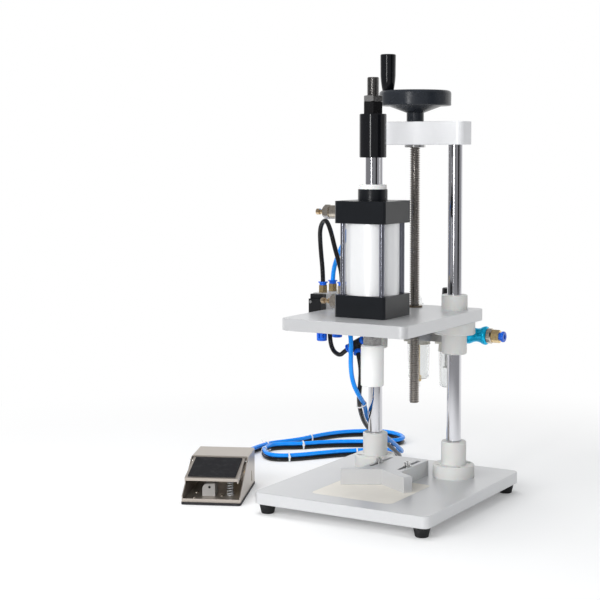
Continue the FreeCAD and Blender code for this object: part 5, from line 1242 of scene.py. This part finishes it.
@dataclass
class Threads(SubAssembly):
    """The lead screw with its handwheel, and the threaded piston rod with what it carries."""

    skins = {
        Skin.WHEEL: ("handwheel",),
        Skin.SCREW: ("wheel_fasteners",),
        Skin.BAKELITE: ("grip", "stop_sleeve"),
        Skin.NUT: ("rod_nuts",),
        Skin.WHITE: ("capping_head",),
    }
    screw_crest: float = 0.0089
    screw_depth: float = 0.0019
    screw_pitch: float = 0.004
    rod_radius: float = 0.0125
    rod_crest: float = 0.0100
    rod_depth: float = 0.00095
    rod_pitch: float = 0.0015
    journal_radius: float = 0.0068
    stud_radius: float = 0.0051
    stud_length: float = 0.0135

    def lead_screw(self) -> list[Item]:
        """Trapezoidal lead screw with its plain journal and stud.

        Returns:
            The screw and the stud.
        """
        low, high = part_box("lead_screw")
        middle = node_middle("lead_screw")
        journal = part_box("wheel_fasteners")[0].z
        mesh = bmesh.new()
        cut_thread(mesh, (low.z + 0.0012, journal), self.screw_crest, self.screw_depth, self.screw_pitch)
        tip = self.screw_crest - self.screw_depth
        lathe(mesh, [(0.0, low.z), (tip, low.z), (tip + 0.0006, low.z + 0.0013)], 40)
        shoulder = high.z - self.stud_length
        radius = self.journal_radius
        lathe(mesh, [(radius, journal - 0.001), (radius, shoulder), (self.stud_radius, shoulder)], 40)
        bmesh.ops.translate(mesh, vec=(middle.x, middle.y, 0.0), verts=mesh.verts)
        item = new_object("lead_screw_thread", mesh, Skin.DARK_SCREW, 25.0)
        stud = bmesh.new()
        cut_thread(stud, (shoulder, high.z), self.stud_radius, 0.0006, 0.00125, steps=32)
        bmesh.ops.translate(stud, vec=(middle.x, middle.y, 0.0), verts=stud.verts)
        end = new_object("lead_screw_stud", stud, Skin.SCREW, 25.0)
        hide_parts("lead_screw")
        for piece in (item, end):
            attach(piece, "handwheel_and_screw")
        return [item, end]

    def rod(self) -> list[Item]:
        """Ground piston rod with threaded ends.

        Returns:
            The plain rod and its threads.
        """
        low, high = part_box("piston_rod")
        nut_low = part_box("rod_nuts")[0].z
        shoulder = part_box("stop_sleeve")[0].z + 0.004
        mesh = bmesh.new()
        nut_top = nut_low + 0.014
        places = ((self.rod_crest, nut_top), (self.rod_radius, nut_top))
        lathe(mesh, [*places, (self.rod_radius, shoulder), (self.rod_crest, shoulder)], 64)
        plain = new_object("ground_rod", mesh, Skin.CHROME)
        mesh = bmesh.new()
        chamfer = 0.0012
        for span in ((low.z + 0.001, nut_top), (shoulder, high.z - chamfer)):
            cut_thread(mesh, span, self.rod_crest, self.rod_depth, self.rod_pitch, steps=48)
        tip = self.rod_crest - self.rod_depth
        lathe(mesh, [(tip + 0.0004, high.z - chamfer), (tip - 0.0003, high.z), (0.0, high.z)], 48)
        threads = new_object("rod_threads", mesh, Skin.ROD_THREAD, 25.0)
        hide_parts("piston_rod")
        for piece, slot in ((plain, "chromed_steel"), (threads, "rod_steel")):
            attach(piece, "rod")
        return [plain, threads]

    def build(self) -> list[Item]:
        """Makes the threaded pieces; returns them."""
        return self.lead_screw() + self.rod()


# ---- air unit and foot valve


@dataclass
class AirUnit(SubAssembly):
    """Filter-regulator and lubricator, with the element and the oil tube in their clear bowls."""

    skins = {
        Skin.CREAM: ("air_unit_bodies",),
        Skin.CLEAR: ("air_unit_bowls", "oiler_dome"),
        Skin.ZINC: ("air_unit_bracket",),
        Skin.PLASTIC: ("regulator_knob",),
    }
    element_radius: float = 0.0095
    element_height: float = 0.034
    baffle_rim: float = 0.003
    below_body: float = 0.008
    filter_x: float = 0.039
    oiler_x: float = -0.023
    tube_radius: float = 0.0022

    def element(self, mesh: Form, top: float) -> None:
        """Adds the filter element on its baffle.

        Args:
            mesh: receives the form.
            top: its upper end.
        """
        radius = self.element_radius
        rim = radius + self.baffle_rim
        foot = top - self.element_height
        profile = [(0.0, foot - 0.008), (0.004, foot - 0.008), (0.005, foot - 0.002), (rim, foot - 0.0015)]
        profile += [(rim, foot), (radius, foot + 0.0005), (radius, top), (0.0, top)]
        lathe(mesh, profile, 48)

    def oil_tube(self, mesh: Form, low: float, top: float) -> None:
        """Adds the oil tube with its sieve.

        Args:
            mesh: receives the form.
            low: the bowl's lower end.
            top: the tube's upper end.
        """
        foot = low + 0.024
        lathe(mesh, [(0.0, foot), (self.tube_radius, foot), (self.tube_radius, top), (0.0, top)], 24)
        sieve = [(0.0, 0.020), (0.0048, 0.020), (0.0052, 0.030), (0.0, 0.032)]
        lathe(mesh, [(radius, low + height) for radius, height in sieve], 24)

    def build(self) -> list[Item]:
        """Makes the inner pieces of both bowls.

        Returns:
            The filter element and the oil tube.
        """
        low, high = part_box("air_unit_bowls")
        top = high.z - self.below_body
        filter_mesh, tube_mesh = bmesh.new(), bmesh.new()
        self.element(filter_mesh, top)
        self.oil_tube(tube_mesh, low.z, top)
        made = []
        for name, mesh, x, skin, slot in (
            ("filter_element", filter_mesh, self.filter_x, Skin.ELEMENT, "cream_plastic"),
            ("oil_tube", tube_mesh, self.oiler_x, Skin.BRASS, "brass"),
        ):
            bmesh.ops.translate(mesh, vec=(x, (low.y + high.y) / 2, 0.0), verts=mesh.verts)
            made.append(new_object(name, mesh, skin))
            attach(made[-1], "head")
        return made


@dataclass
class FootValve(SubAssembly):
    """Foot valve with its coil spring, floor screws and a black disc of painted shade for its air port."""

    skins = {
        Skin.SHEET: ("pedal_housing", "treadle"),
        Skin.MAT: ("pedal_base_pad", "tread_rubber"),
        Skin.GREY: ("pedal_valve",),
        Skin.BRASS: ("pedal_fittings",),
        Skin.NICKEL: ("pedal_plunger",),
    }
    turn: float = math.radians(24.5)
    centre: Vector = field(default_factory=lambda: Vector((-0.2865, -0.0325, -0.037)))
    spring_turns: int = 12
    spring_radius: float = 0.0052
    wire: float = 0.0009
    floor_sheet: float = 0.0055
    screw_places: tuple[tuple[float, float], ...] = (
        (-0.034, -0.058), (-0.036, -0.020), (0.012, -0.040), (0.036, -0.070),
    )
    port_place: Point = (-0.0097, -0.043, 0.0209)

    def at(self, x: float, y: float, z: float) -> Vector:
        """A point of the foot valve's own frame, in the machine's frame."""
        return self.centre + Matrix.Rotation(self.turn, 3, "Z") @ Vector((x, y, z))

    def spring(self) -> Item:
        """Zinc plated return spring with closed ends.

        Returns:
            The spring.
        """
        low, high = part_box("pedal_spring")
        middle = node_middle("pedal_spring")
        bottom, top = low.z + self.wire, high.z - self.wire
        points = []
        per_turn = 16
        steps = self.spring_turns * per_turn
        for step in range(steps + 1):
            share = step / steps
            rise = min(max((share - 0.09) / 0.82, 0.0), 1.0)
            angle = 2 * math.pi * step / per_turn
            height = bottom + (top - bottom) * (0.03 * share + 0.97 * rise)
            across, beside = self.spring_radius * math.cos(angle), self.spring_radius * math.sin(angle)
            points.append(Vector((middle.x + across, middle.y + beside, height)))
        item = hose_tube("return_spring", points, self.wire, Skin.SPRING)
        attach(item, "machine_base")
        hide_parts("pedal_spring")
        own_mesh(item)
        return item

    def screws(self) -> Item:
        """Pan head screws on the foot valve's floor.

        Returns:
            The screws, as one piece.
        """
        mesh = bmesh.new()
        profile = [(0.0, 0.0), (0.0034, 0.0), (0.0034, 0.0008), (0.0026, 0.0019), (0.0, 0.0022)]
        for x, y in self.screw_places:
            made = lathe(mesh, profile, 24)
            bmesh.ops.translate(mesh, vec=self.at(x, y, self.floor_sheet), verts=made)
        item = new_object("floor_screws", mesh, Skin.NICKEL)
        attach(item, "machine_base")
        return item

    def port(self) -> Item:
        """Black disc with a lip in the front of the small air valve: painted shade for the dark inside of
        its air port.

        Returns:
            The painted-shade port disc.
        """
        mesh = bmesh.new()
        sunk, lip, floor = -0.0003, 0.0004, 0.0001
        outer = [(0.0, sunk), (0.0023, sunk), (0.0023, 0.0002)]
        lathe(mesh, [*outer, (0.0018, lip), (0.0014, floor), (0.0, floor)], 32)
        stand = Matrix.Translation(self.at(*self.port_place)) @ Matrix.Rotation(self.turn, 4, "Z")
        bmesh.ops.transform(mesh, matrix=stand @ Matrix.Rotation(math.pi / 2, 4, "X"), verts=mesh.verts)
        # Black plastic all over: painted shade for the dark inside of the real opening.
        item = new_object("valve_port_painted_shade", mesh, Skin.PLASTIC)
        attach(item, "machine_base")
        return item

    def build(self) -> list[Item]:
        """Makes the spring, the screws and the painted-shade port disc; returns them."""
        return [self.spring(), self.screws(), self.port()]


def main() -> None:
    """Builds the studio and every sub-assembly, and reports each piece."""
    logging.basicConfig(level=logging.INFO, format="%(name)s: %(message)s")
    Studio().build()
    built = (PedalHoses(), HeadHoses(), Threads(), AirUnit(), FootValve())
    for group in (*built, Stand(), HeadPlate(), Cylinder()):
        for item in group.build():
            log.info("made %s, %d faces", item.name, len(item.data.polygons))
        group.dress()


if __name__ == "__main__":
    main()
